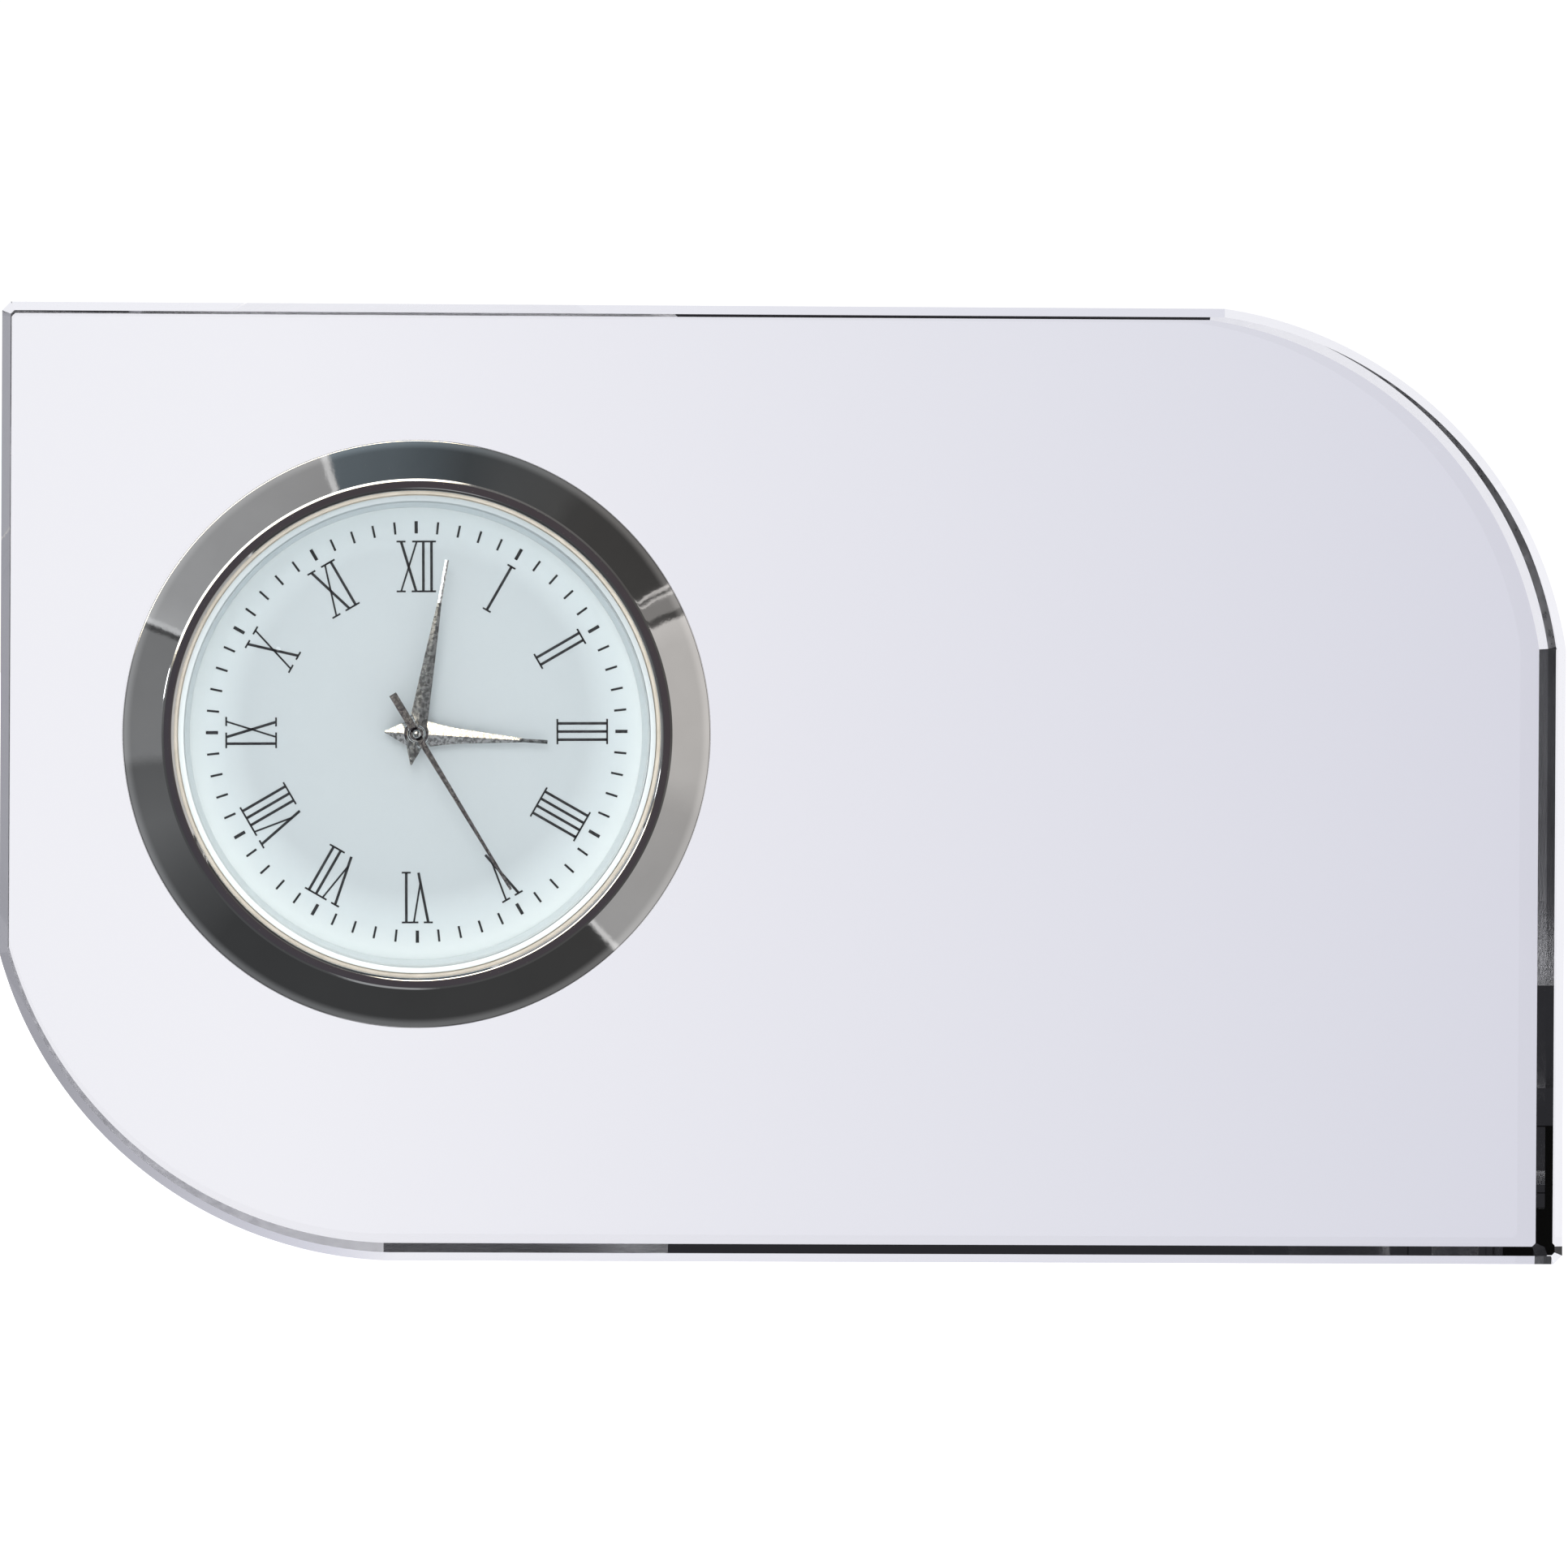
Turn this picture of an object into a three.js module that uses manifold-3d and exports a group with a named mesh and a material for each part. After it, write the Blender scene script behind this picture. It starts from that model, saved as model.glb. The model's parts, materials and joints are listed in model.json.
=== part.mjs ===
// A desk clock: a polished glass block with a clock insert pushed into a bore through it.
// Millimetres. +X runs to the right, +Z runs up and the dial faces -Y.
// The origin is the middle of the block's underside.

import * as THREE from 'three';
import { mergeVertices } from 'three/addons/utils/BufferGeometryUtils.js';
import Module from 'manifold-3d';

const wasm = await Module();
wasm.setup();

// Clearances shared by every piece.
const SEAT = 0.05; // between faces that rest on each other
const RUNNING = 0.05; // around shafts and in slides
const HAND_FIT = 0.02; // between a hand and its pipe
const SKIRT_FIT = 0.1; // between the bezel's skirt and the case
const GRIP_PLAY = 0.1; // between the grip ring's ribs and the bore

// The glass block.
const BLOCK_WIDTH = 100;
const BLOCK_HEIGHT = 61;
const BLOCK_DEPTH = 20;
const EDGE_BEVEL = 0.55;
const UPPER_CUT_ACROSS = 22;
const UPPER_CUT_DOWN = 21.7;
const UPPER_ARC_RADIUS = 25.9;
const LOWER_CUT_ACROSS = 24.8;
const LOWER_CUT_UP = 19.5;
const LOWER_ARC_RADIUS = 26.6;
const CLOCK_FROM_LEFT = 26.5;
const CLOCK_FROM_TOP = 27.4;
const BORE_RADIUS = 17.5;
const BORE_BEVEL = 0.4;

// The bezel, the lens and its gasket.
const BEZEL_LAP = 1.25; // reach over the glass around the bore
const BEZEL_HEIGHT = 2;
const BEZEL_RIM = 0.5;
const BEZEL_FACE = 2.5; // width of the polished slope
const BEZEL_SWELL = 0.24; // how far the slope bulges above a straight cone
const LIP_WIDTH = 0.3;
const LIP_SLOPE = 0.1;
const SKIRT_WALL = 0.65;
const SKIRT_LENGTH = 1.6;
const LENS_INSET = 0.35;
const LENS_THICKNESS = 1.1;
const LENS_BEVEL = 0.25;
const GASKET_WALL = 0.55;
const GASKET_FOOT = 0.15;
const LEDGE_THICKNESS = 0.5;

// The case, the grip ring and the back.
const GRIP_THICKNESS = 1.15;
const GRIP_RIB = 0.45;
const GRIP_RIBS = 28;
const GRIP_TIP_SHARE = 0.2; // half of a rib's tip as a share of its pitch
const GRIP_BASE_SHARE = 0.32;
const GRIP_GAP = 17; // degrees left open at the crown
const CASE_WALL = 2;
const CASE_SHOULDER = 0.8;
const COVER_THICKNESS = 0.5;
const COVER_PLAY = 0.15;
const COVER_BEVEL = 0.15;
const COVER_RIM = 0.5;
const COVER_RIM_WALL = 0.4;
const COVER_MARGIN = 0.25;
const PRY_NOTCH_WIDTH = 3;
const PRY_NOTCH_DEPTH = 0.6;
const SEAL_WIDTH = 0.5;
const SEAL_DEPTH = 0.45;

// The dial and its spacer ring.
const DIAL_PLAY = 0.08;
const DIAL_THICKNESS = 0.4;
const SPACER_HEIGHT = 1.65;
const SPACER_LAP = 0.47;
const SPACER_SLOPE = 0.3;
const FOOT_RADIUS = 0.35;
const FOOT_LENGTH = 1.4;
const FEET = [
  [3, 8.6],
  [-7, -8.8],
];

// The hands. Each row of a shape is a share of the hand's length and a share of its greatest half width.
const HOUR_REST = 93.3; // degrees clockwise from twelve
const MINUTE_REST = 9.7;
const SECOND_REST = 148.5;
const HAND_RISE = 0.55;
const HAND_STEP = 0.6;
const HAND_THICKNESS = 0.2;
const HAND_EDGE = 0.07;
const HAND_BOSS_WALL = 0.22;
const TIP_STAND = 0.15;
const HOUR_LENGTH = 8.4;
const HOUR_HALF_WIDTH = 0.86;
const HOUR_SHAPE = [
  [-0.24, 0.04],
  [-0.16, 0.47],
  [-0.07, 0.93],
  [0, 1],
  [0.08, 0.98],
  [0.18, 0.77],
  [0.3, 0.58],
  [0.52, 0.39],
  [0.75, 0.2],
  [0.83, 0.15],
  [1, 0.14],
];
const MINUTE_LENGTH = 11.25;
const MINUTE_HALF_WIDTH = 0.6;
const MINUTE_SHAPE = [
  [-0.18, 0.05],
  [-0.13, 0.43],
  [-0.08, 0.83],
  [0, 0.98],
  [0.045, 1],
  [0.13, 0.9],
  [0.3, 0.73],
  [0.475, 0.55],
  [0.65, 0.36],
  [0.73, 0.24],
  [0.8, 0.22],
  [1, 0.21],
];
const SECOND_LENGTH = 11.6;
const SECOND_HALF_WIDTH = 0.25;
const SECOND_SHAPE = [
  [-0.255, 1],
  [-0.05, 1],
  [0.035, 0.8],
  [0.3, 0.64],
  [0.69, 0.44],
  [1, 0.36],
];
const SECOND_BOSS = 0.48;

// The wheel train: teeth, layers and where the arbors stand.
const GEAR_THICKNESS = 0.25;
const LAYER_PITCH = 0.4;
const PINION_OVERHANG = 0.05;
const FIRST_LAYER = 0.2;
const TRAIN_GAP = 0.1;
const TOOTH_ADDENDUM = 0.8; // in modules
const TOOTH_DEDENDUM = 1.6;
const TOOTH_TIP_SHARE = 0.07; // half of a tooth's tip as a share of its pitch
const ROTOR_TEETH = 6;
const STEP_TEETH = 36;
const STEP_LEAVES = 6;
const SECOND_TEETH = 30;
const SECOND_LEAVES = 6;
const THIRD_TEETH = 45;
const THIRD_LEAVES = 6;
const CENTRE_TEETH = 48;
const CANNON_LEAVES = 10;
const MINUTE_TEETH = 30;
const MINUTE_LEAVES = 8;
const HOUR_TEETH = 32;
const THIRD_PLACE = { angle: 300, distance: 3.4 };
const STEP_PLACE = { angle: 40, distance: 3.5 };
const ROTOR_PLACE = { angle: 30, distance: 1.9 };
const MINUTE_PLACE = { angle: 90, distance: 2.9 };
const ARBOR_RADIUS = 0.15;
const SECOND_ARBOR_RADIUS = 0.12;
const PIVOT_LENGTH = 0.4;
const PIPE_WALL = 0.19;
const MINUTE_POST_RADIUS = 0.17;
const MAGNET_RADIUS = 0.8;
const MAGNET_LENGTH = 0.7;
const WASHER_WIDTH = 0.8;
const WASHER_THICKNESS = 0.1;

// The movement's plates, motor and electrics.
const PLATE_THICKNESS = 0.8;
const PLATE_HALF_WIDTH = 8.2;
const PLATE_TOP = 9.6;
const PLATE_BOTTOM = -10.4;
const PLATE_CORNER = 1.5;
const RIM_ABOVE = 6;
const RIM_BELOW = -4;
const BRIDGE_THICKNESS = 0.5;
const BRIDGE_OUTLINE = [
  [-7.8, 4.5],
  [4.4, 5.5],
  [7, 2.5],
  [7, 1],
  [1.5, -1.4],
  [-5.6, -1.8],
  [-7.2, -1.8],
  [-7.8, -0.6],
];
const PILLARS = [
  [-7, 3.6],
  [6.2, 1.75],
  [-6.4, -1],
];
const PILLAR_RADIUS = 0.7;
const SCREW_RADIUS = 0.25;
const SCREW_HEAD_RADIUS = 0.55;
const SCREW_HEAD_HEIGHT = 0.3;
const SCREW_SLOT = 0.16;
const STATOR_THICKNESS = 0.5;
const STATOR_GAP = 0.25; // between the magnet and the stator
const STATOR_OUTLINE = [
  [-7.4, 8.7],
  [-5.8, 8.7],
  [-5.8, 6.2],
  [5.8, 6.2],
  [5.8, 8.7],
  [7.4, 8.7],
  [7.4, 3.2],
  [5, 2.7],
  [3.2, 2.6],
  [1.8, 3.6],
  [1.2, 4.95],
  [-7.4, 4.95],
];
const COIL_ABOVE = 7.9;
const COIL_RADIUS = 0.78;
const COIL_FLANGE = 0.82;
const COIL_HALF_LENGTH = 5.2;
const COIL_FLANGE_THICKNESS = 0.4;
const CORE_HALF_LENGTH = 7.3;
const CORE_HALF_WIDTH = 0.5;
const CORE_THICKNESS = 0.6;
const COIL_SCREW_OFFSET = 6.6;
const BOARD_THICKNESS = 0.3;
const BOARD_LEFT = -7.9;
const BOARD_RIGHT = -3.9;
const BOARD_TOP = -2.2;
const BOARD_BOTTOM = -9;
const CAN_RADIUS = 0.75;
const CAN_LENGTH = 5;
const CHIP_SIZE = 1.8;
const CHIP_HEIGHT = 0.6;
const CHIP_DROP = 1.2; // from the board's upper edge
const CELL_RADIUS = 3.4;
const CELL_THICKNESS = 2.6;
const CELL_DROP = 6.7;
const CELL_CAP_RADIUS = 2.6;
const CELL_CAP_STEP = 0.25;
const CELL_BEVEL = 0.12;
const CELL_STAND = 0.3; // room for the contact under the cell
const CONTACT_THICKNESS = 0.2;
const CONTACT_HALF_WIDTH = 0.5;
const CONTACT_REACH = 1;
const CLIP_HALF_WIDTH = 1;
const CLIP_PAD = 0.9;
const CLIP_RISER_DROP = 1.8;
const CLIP_SHORT = 0.5; // from the strap's end to the cell's lower edge

// The crown and the setting parts, along a line at three o'clock.
const STEM_RADIUS = 0.4;
const STEM_HOLE_PLAY = 0.1;
const STEM_SQUARE = 0.25; // half of the square's side
const STEM_START = 4.6;
const GROOVE_START = 6.85;
const GROOVE_WIDTH = 0.6;
const GROOVE_RADIUS = 0.22;
const CLUTCH_START = 5;
const CLUTCH_LENGTH = 1.6;
const CLUTCH_TEETH = 12;
const CLUTCH_RADIUS = 0.75;
const WINDOW_MARGIN = 0.3;
const CRADLE_LENGTH = 0.6;
const CRADLE_HALF_WIDTH = 0.9;
const CRADLE_HEIGHT = 0.3;
const CROWN_RADIUS = 1.6;
const CROWN_LENGTH = 1.25;
const CROWN_TEETH = 20;
const CROWN_TOOTH = 0.14;
const CROWN_POCKET_PLAY = 0.25;
const CROWN_STEP = 0.1;
const STEM_IN_CROWN = 0.75;
const CASE_POCKET = 1.2; // depth of the crown's pocket in the case wall
const LEVER_LENGTH = 2.6;
const LEVER_THICKNESS = 0.2;
const LEVER_RAISE = 0.25;
const LEVER_EYE = 0.75;
const LEVER_NOSE = 0.3;
const LEVER_STUD_RADIUS = 0.35;
const LEVER_PIN_RADIUS = 0.15;
const LEVER_PIN_CLEAR = 0.06;

// How finely round pieces are drawn.
const ROUND = 48;
const SMALL_ROUND = 16;
const TINY_ROUND = 8;
const ARC_STEPS = 16;
const SLOPE_STEPS = 4;
const OVERRUN = 1; // how far a cutter runs past the face it cuts
const BITE = 0.1; // how far joined shapes run into each other

// Radii that follow from the sizes above.
const bezelRadius = BORE_RADIUS + BEZEL_LAP;
const crestRadius = bezelRadius - BEZEL_FACE;
const lipRadius = crestRadius - LIP_WIDTH;
const gasketSeat = lipRadius - LIP_SLOPE;
const gasketRadius = gasketSeat - SEAT;
const lensRadius = gasketRadius - GASKET_WALL - SEAT;
const gripRadius = BORE_RADIUS - GRIP_PLAY;
const gripInner = gripRadius - GRIP_THICKNESS;
const caseRadius = gripInner - SEAT;
const caseBore = caseRadius - CASE_WALL;
const dialBore = caseBore + CASE_SHOULDER;
const dialRadius = dialBore - DIAL_PLAY;
const holderRadius = caseBore - SEAT;
const sealInner = caseBore + (CASE_WALL - SEAL_WIDTH) / 2;
const skirtInner = caseRadius + SKIRT_FIT;
const cannonBore = SECOND_ARBOR_RADIUS + RUNNING;
const cannonRadius = cannonBore + PIPE_WALL;
const hourBore = cannonRadius + RUNNING;
const hourPipeRadius = hourBore + PIPE_WALL;
const dialHole = hourPipeRadius + RUNNING + SEAT;

// Depths that follow from the sizes above, from the front of the clock to its back.
const front = -BLOCK_DEPTH / 2;
const crest = front - BEZEL_HEIGHT;
const lensFront = crest + LENS_INSET;
const lensBack = lensFront + LENS_THICKNESS;
const gasketFront = lensFront + LENS_BEVEL;
const footFront = lensBack + SEAT;
const footBack = footFront + GASKET_FOOT;
const ledgeFront = footBack + SEAT;
const ledgeBack = ledgeFront + LEDGE_THICKNESS;
const caseFront = ledgeBack + SEAT;
const spacerBack = caseFront + SPACER_HEIGHT;
const dialFront = spacerBack + SEAT;
const dialBack = dialFront + DIAL_THICKNESS;
const hourHandBack = dialFront - HAND_RISE;
const minuteHandBack = hourHandBack - HAND_STEP;
const secondHandBack = minuteHandBack - HAND_STEP;
const hourLayer = dialBack + FIRST_LAYER;
const minuteLayer = hourLayer + LAYER_PITCH;
const plateFront = minuteLayer + LAYER_PITCH;
const plateBack = plateFront + PLATE_THICKNESS;
const centreLayer = plateBack + TRAIN_GAP;
const thirdLayer = centreLayer + LAYER_PITCH;
const secondLayer = thirdLayer + LAYER_PITCH;
const stepLayer = secondLayer + LAYER_PITCH;
const bridgeFront = stepLayer + LAYER_PITCH;
const bridgeBack = bridgeFront + BRIDGE_THICKNESS;
const statorFront = plateBack + SEAT;
const statorBack = statorFront + STATOR_THICKNESS;
const coreFront = statorBack + SEAT;
const coreBack = coreFront + CORE_THICKNESS;
const coilAxis = (coreFront + coreBack) / 2;
const boardFront = plateBack + SEAT;
const boardBack = boardFront + BOARD_THICKNESS;
const cellFront = plateBack + CELL_STAND;
const cellBack = cellFront + CELL_THICKNESS;
const clipFront = cellBack + SEAT;
const clipBack = clipFront + CONTACT_THICKNESS;
const coverFront = clipBack + COVER_PLAY;
const coverBack = coverFront + COVER_THICKNESS;
const caseBack = coverFront - SEAT;
const rimFront = coverFront - COVER_RIM;
const holderBack = rimFront - SEAT;
const stemAxis = plateBack + STEM_RADIUS + TRAIN_GAP;
const leverFront = stemAxis + STEM_RADIUS + LEVER_RAISE;
const leverBack = leverFront + LEVER_THICKNESS;

// Places across the clock, measured from the middle of the dial.
const middle = { x: 0, z: 0 };
const third = placed(middle, THIRD_PLACE);
const step = placed(middle, STEP_PLACE);
const rotor = placed(step, ROTOR_PLACE);
const minute = placed(middle, MINUTE_PLACE);
const grooveMiddle = GROOVE_START + GROOVE_WIDTH / 2;
const crownStart = caseRadius - CASE_POCKET + SEAT;
const crownEnd = crownStart + CROWN_LENGTH;
const stemEnd = crownStart + STEM_IN_CROWN;
const clockX = CLOCK_FROM_LEFT - BLOCK_WIDTH / 2;
const clockZ = BLOCK_HEIGHT - CLOCK_FROM_TOP;

// A point at a distance from another, at an angle in degrees clockwise from twelve.
function placed(from, { angle, distance }) {
  const turn = THREE.MathUtils.degToRad(angle);
  return { x: from.x + distance * Math.sin(turn), z: from.z + distance * Math.cos(turn) };
}

// A closed body from a shape, with its faces turned outwards.
function bodyOf(geometry) {
  geometry.deleteAttribute('normal');
  geometry.deleteAttribute('uv');
  const merged = mergeVertices(geometry);
  const corners = [];
  const index = merged.index.array;
  for (let i = 0; i < index.length; i += 3) {
    const [a, b, c] = [index[i], index[i + 1], index[i + 2]];
    if (a !== b && b !== c && c !== a) corners.push(a, b, c);
  }
  const vertProperties = new Float32Array(merged.attributes.position.array);
  const made = (list) => {
    const triVerts = new Uint32Array(list);
    return new wasm.Manifold(new wasm.Mesh({ numProp: 3, vertProperties, triVerts }));
  };
  const body = made(corners);
  return body.volume() > 0 ? body : made(corners.reverse());
}

// A flat outline in X and Z, from one depth to another.
function plate(outline, from, to) {
  const shape = new THREE.Shape(outline.map(([x, z]) => new THREE.Vector2(x, z)));
  const geometry = new THREE.ExtrudeGeometry(shape, { depth: to - from, bevelEnabled: false });
  return bodyOf(geometry.rotateX(Math.PI / 2).translate(0, to, 0));
}

// A block between two corners.
function block([left, right], [from, to], [low, high]) {
  return plate([[left, low], [right, low], [right, high], [left, high]], from, to);
}

// A profile of radius and depth turned about the clock's axis.
function turned(profile, segments = ROUND) {
  const points = profile.map(([radius, depth]) => new THREE.Vector2(radius, depth));
  return bodyOf(new THREE.LatheGeometry(points, segments));
}

// A turned ring, whose profile closes on itself.
function ring(profile, segments = ROUND) {
  return turned([...profile, profile[0]], segments);
}

// A plain ring between two radii and two depths.
function washer(inner, outer, from, to, segments = ROUND) {
  return ring([[inner, from], [outer, from], [outer, to], [inner, to]], segments);
}

// A round rod along the clock's axis, standing at a place.
function rod(radius, from, to, at = middle, segments = TINY_ROUND) {
  const geometry = new THREE.CylinderGeometry(radius, radius, to - from, segments);
  return bodyOf(geometry.translate(at.x, (from + to) / 2, at.z));
}

// A round rod across the clock, along the stem's line or another line parallel to it.
function crossRod(radius, left, right, depth = stemAxis, height = 0, segments = SMALL_ROUND) {
  const geometry = new THREE.CylinderGeometry(radius, radius, right - left, segments);
  return bodyOf(geometry.rotateZ(Math.PI / 2).translate((left + right) / 2, depth, height));
}

// The outline of a toothed wheel about its own middle, with flat tips and pointed gaps.
function toothed(teeth, root, tip, phase) {
  const pitch = (2 * Math.PI) / teeth;
  const corners = [[-TOOTH_TIP_SHARE, tip], [TOOTH_TIP_SHARE, tip], [1 / 2, root]];
  const outline = [];
  for (let n = 0; n < teeth; n += 1) {
    for (const [share, radius] of corners) {
      const turn = phase + (n + share) * pitch;
      outline.push([radius * Math.sin(turn), radius * Math.cos(turn)]);
    }
  }
  return outline;
}

// A gear at a place, sized by its module.
function gear(at, teeth, module, phase, from, to) {
  const pitchRadius = (teeth * module) / 2;
  const root = pitchRadius - TOOTH_DEDENDUM * module;
  const tip = pitchRadius + TOOTH_ADDENDUM * module;
  return plate(toothed(teeth, root, tip, phase).map(([x, z]) => [x + at.x, z + at.z]), from, to);
}

// Two gears in mesh: a tooth of the first lies in a gap of the second.
function meshed(first, firstTeeth, second, secondTeeth) {
  const [x, z] = [second.x - first.x, second.z - first.z];
  const module = (2 * Math.hypot(x, z)) / (firstTeeth + secondTeeth);
  const phase = Math.atan2(x, z);
  const secondPhase = phase + Math.PI + Math.PI / secondTeeth;
  const end = GEAR_THICKNESS;
  return {
    first: (layer, over) => gear(first, firstTeeth, module, phase, layer - over, layer + end + over),
    second: (layer, over) => gear(second, secondTeeth, module, secondPhase, layer - over, layer + end + over),
  };
}

// Points along an arc between two points, bulging away from the block's middle.
function arc([fromX, fromZ], [toX, toZ], radius) {
  const [chordX, chordZ] = [toX - fromX, toZ - fromZ];
  const chord = Math.hypot(chordX, chordZ);
  const back = Math.sqrt(radius ** 2 - (chord / 2) ** 2);
  const [midX, midZ] = [(fromX + toX) / 2, (fromZ + toZ) / 2];
  const centreX = midX - (chordZ / chord) * back;
  const centreZ = midZ + (chordX / chord) * back;
  const start = Math.atan2(fromZ - centreZ, fromX - centreX);
  const sweep = 2 * Math.asin(chord / 2 / radius);
  const points = [];
  for (let n = 0; n <= ARC_STEPS; n += 1) {
    const turn = start + (sweep * n) / ARC_STEPS;
    points.push([centreX + radius * Math.cos(turn), centreZ + radius * Math.sin(turn)]);
  }
  return points;
}

// The glass block: two corners rounded by large arcs, every edge bevelled, one bore right through.
function makeBlock() {
  const half = BLOCK_WIDTH / 2;
  const outline = [
    ...arc([-half, LOWER_CUT_UP], [LOWER_CUT_ACROSS - half, 0], LOWER_ARC_RADIUS),
    [half - EDGE_BEVEL, 0],
    [half, EDGE_BEVEL],
    ...arc([half, BLOCK_HEIGHT - UPPER_CUT_DOWN], [half - UPPER_CUT_ACROSS, BLOCK_HEIGHT], UPPER_ARC_RADIUS),
    [EDGE_BEVEL - half, BLOCK_HEIGHT],
    [-half, BLOCK_HEIGHT - EDGE_BEVEL],
  ];
  const shape = new THREE.Shape(outline.map(([x, z]) => new THREE.Vector2(x, z)));
  const geometry = new THREE.ExtrudeGeometry(shape, {
    depth: BLOCK_DEPTH - 2 * EDGE_BEVEL,
    bevelThickness: EDGE_BEVEL,
    bevelSize: EDGE_BEVEL,
    bevelOffset: -EDGE_BEVEL,
    bevelSegments: 1,
  });
  const glass = bodyOf(geometry.rotateX(Math.PI / 2).translate(0, BLOCK_DEPTH / 2 - EDGE_BEVEL, 0));
  const flare = BORE_RADIUS + BORE_BEVEL + OVERRUN;
  const bore = turned([
    [0, front - OVERRUN],
    [flare, front - OVERRUN],
    [BORE_RADIUS, front + BORE_BEVEL],
    [BORE_RADIUS, -front - BORE_BEVEL],
    [flare, OVERRUN - front],
    [0, OVERRUN - front],
  ]);
  return glass.subtract(bore.translate(clockX, 0, clockZ));
}

// The bezel: a flange over the glass, a swelling slope up to a lip, a ledge for the lens and a skirt.
function makeBezel() {
  const slope = [];
  for (let n = 0; n <= SLOPE_STEPS; n += 1) {
    const share = n / SLOPE_STEPS;
    const swell = BEZEL_SWELL * Math.sin(Math.PI * share);
    const rise = BEZEL_RIM + (BEZEL_HEIGHT - BEZEL_RIM) * share + swell * (1 - share);
    slope.push([bezelRadius - BEZEL_FACE * share, front - rise]);
  }
  return ring([
    [bezelRadius, front - SEAT],
    ...slope,
    [lipRadius, crest],
    [gasketSeat, crest + LIP_SLOPE],
    [gasketSeat, ledgeFront],
    [dialBore, ledgeFront],
    [dialBore, ledgeBack],
    [skirtInner, ledgeBack],
    [skirtInner, ledgeBack + SKIRT_LENGTH],
    [skirtInner + SKIRT_WALL, ledgeBack + SKIRT_LENGTH],
    [skirtInner + SKIRT_WALL, front - SEAT],
  ]);
}

// The lens, flat on both sides with a bevelled front edge.
function makeLens() {
  return turned([
    [0, lensBack],
    [lensRadius, lensBack],
    [lensRadius, lensFront + LENS_BEVEL],
    [lensRadius - LENS_BEVEL, lensFront],
    [0, lensFront],
  ]);
}

// The gasket that grips the lens: a wall around it and a foot under its edge.
function makeGasket() {
  const inner = gasketRadius - GASKET_WALL;
  return ring([
    [inner, gasketFront],
    [gasketRadius, gasketFront],
    [gasketRadius, footBack],
    [dialBore, footBack],
    [dialBore, footFront],
    [inner, footFront],
  ]);
}

// The sloping ring between the lens and the dial.
function makeSpacer() {
  const inner = dialRadius - SPACER_LAP;
  return ring([
    [inner + SPACER_SLOPE, caseFront],
    [dialRadius, caseFront],
    [dialRadius, spacerBack],
    [inner, spacerBack],
  ]);
}

// The dial, with two feet that locate it on the main plate.
function makeDial() {
  let dial = washer(dialHole, dialRadius, dialFront, dialBack);
  for (const [x, z] of FEET) {
    dial = dial.add(rod(FOOT_RADIUS, dialBack - BITE, dialBack + FOOT_LENGTH, { x, z }));
  }
  return dial;
}

// The case: a stepped tube with a groove for the seal, and a pocket and hole for the crown and stem.
function makeCase() {
  const grooveInner = sealInner - SEAT;
  const grooveOuter = sealInner + SEAL_WIDTH + SEAT;
  const grooveFloor = caseBack - SEAL_DEPTH - SEAT;
  const tube = ring([
    [dialBore, caseFront],
    [caseRadius, caseFront],
    [caseRadius, caseBack],
    [grooveOuter, caseBack],
    [grooveOuter, grooveFloor],
    [grooveInner, grooveFloor],
    [grooveInner, caseBack],
    [caseBore, caseBack],
    [caseBore, dialBack + SEAT],
    [dialBore, dialBack + SEAT],
  ]);
  const pocket = crossRod(CROWN_RADIUS + CROWN_POCKET_PLAY, crownStart - SEAT, caseRadius + OVERRUN);
  const hole = crossRod(STEM_RADIUS + STEM_HOLE_PLAY, caseBore - OVERRUN, caseRadius);
  return tube.subtract(pocket).subtract(hole);
}

// The seal that lies in the groove of the case.
function makeSeal() {
  return washer(sealInner, sealInner + SEAL_WIDTH, caseBack - SEAL_DEPTH, caseBack);
}

// The ribbed ring that grips the bore, open where the crown stands.
function makeGrip() {
  const opening = THREE.MathUtils.degToRad(GRIP_GAP);
  const pitch = (2 * Math.PI - opening) / GRIP_RIBS;
  const start = Math.PI / 2 + opening / 2;
  const valley = gripRadius - GRIP_RIB;
  const tip = GRIP_TIP_SHARE * pitch;
  const base = GRIP_BASE_SHARE * pitch;
  const at = (radius, turn) => [radius * Math.sin(turn), radius * Math.cos(turn)];
  const outline = [at(valley, start)];
  for (let n = 0; n < GRIP_RIBS; n += 1) {
    const turn = start + (n + 1 / 2) * pitch;
    outline.push(at(valley, turn - base), at(gripRadius, turn - tip));
    outline.push(at(gripRadius, turn + tip), at(valley, turn + base));
  }
  outline.push(at(valley, start + GRIP_RIBS * pitch));
  const inner = gripInner / Math.cos(pitch / 2);
  for (let n = GRIP_RIBS; n >= 0; n -= 1) {
    outline.push(at(inner, start + n * pitch));
  }
  return plate(outline, ledgeBack + SKIRT_LENGTH + SEAT, caseBack);
}

// The back cover: a disc with a rim pressed into the case and a notch to pry it off.
function makeCover() {
  const outer = caseRadius - COVER_MARGIN;
  const rimOuter = caseBore - SEAT;
  const disc = turned([
    [0, coverFront],
    [rimOuter - COVER_RIM_WALL, coverFront],
    [rimOuter - COVER_RIM_WALL, rimFront],
    [rimOuter, rimFront],
    [rimOuter, coverFront],
    [outer, coverFront],
    [outer, coverBack - COVER_BEVEL],
    [outer - COVER_BEVEL, coverBack],
    [0, coverBack],
  ]);
  const half = PRY_NOTCH_WIDTH / 2;
  const notch = block(
    [-half, half],
    [coverFront - BITE, coverBack - COVER_BEVEL],
    [-outer - OVERRUN, PRY_NOTCH_DEPTH - outer],
  );
  return disc.subtract(notch);
}

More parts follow.
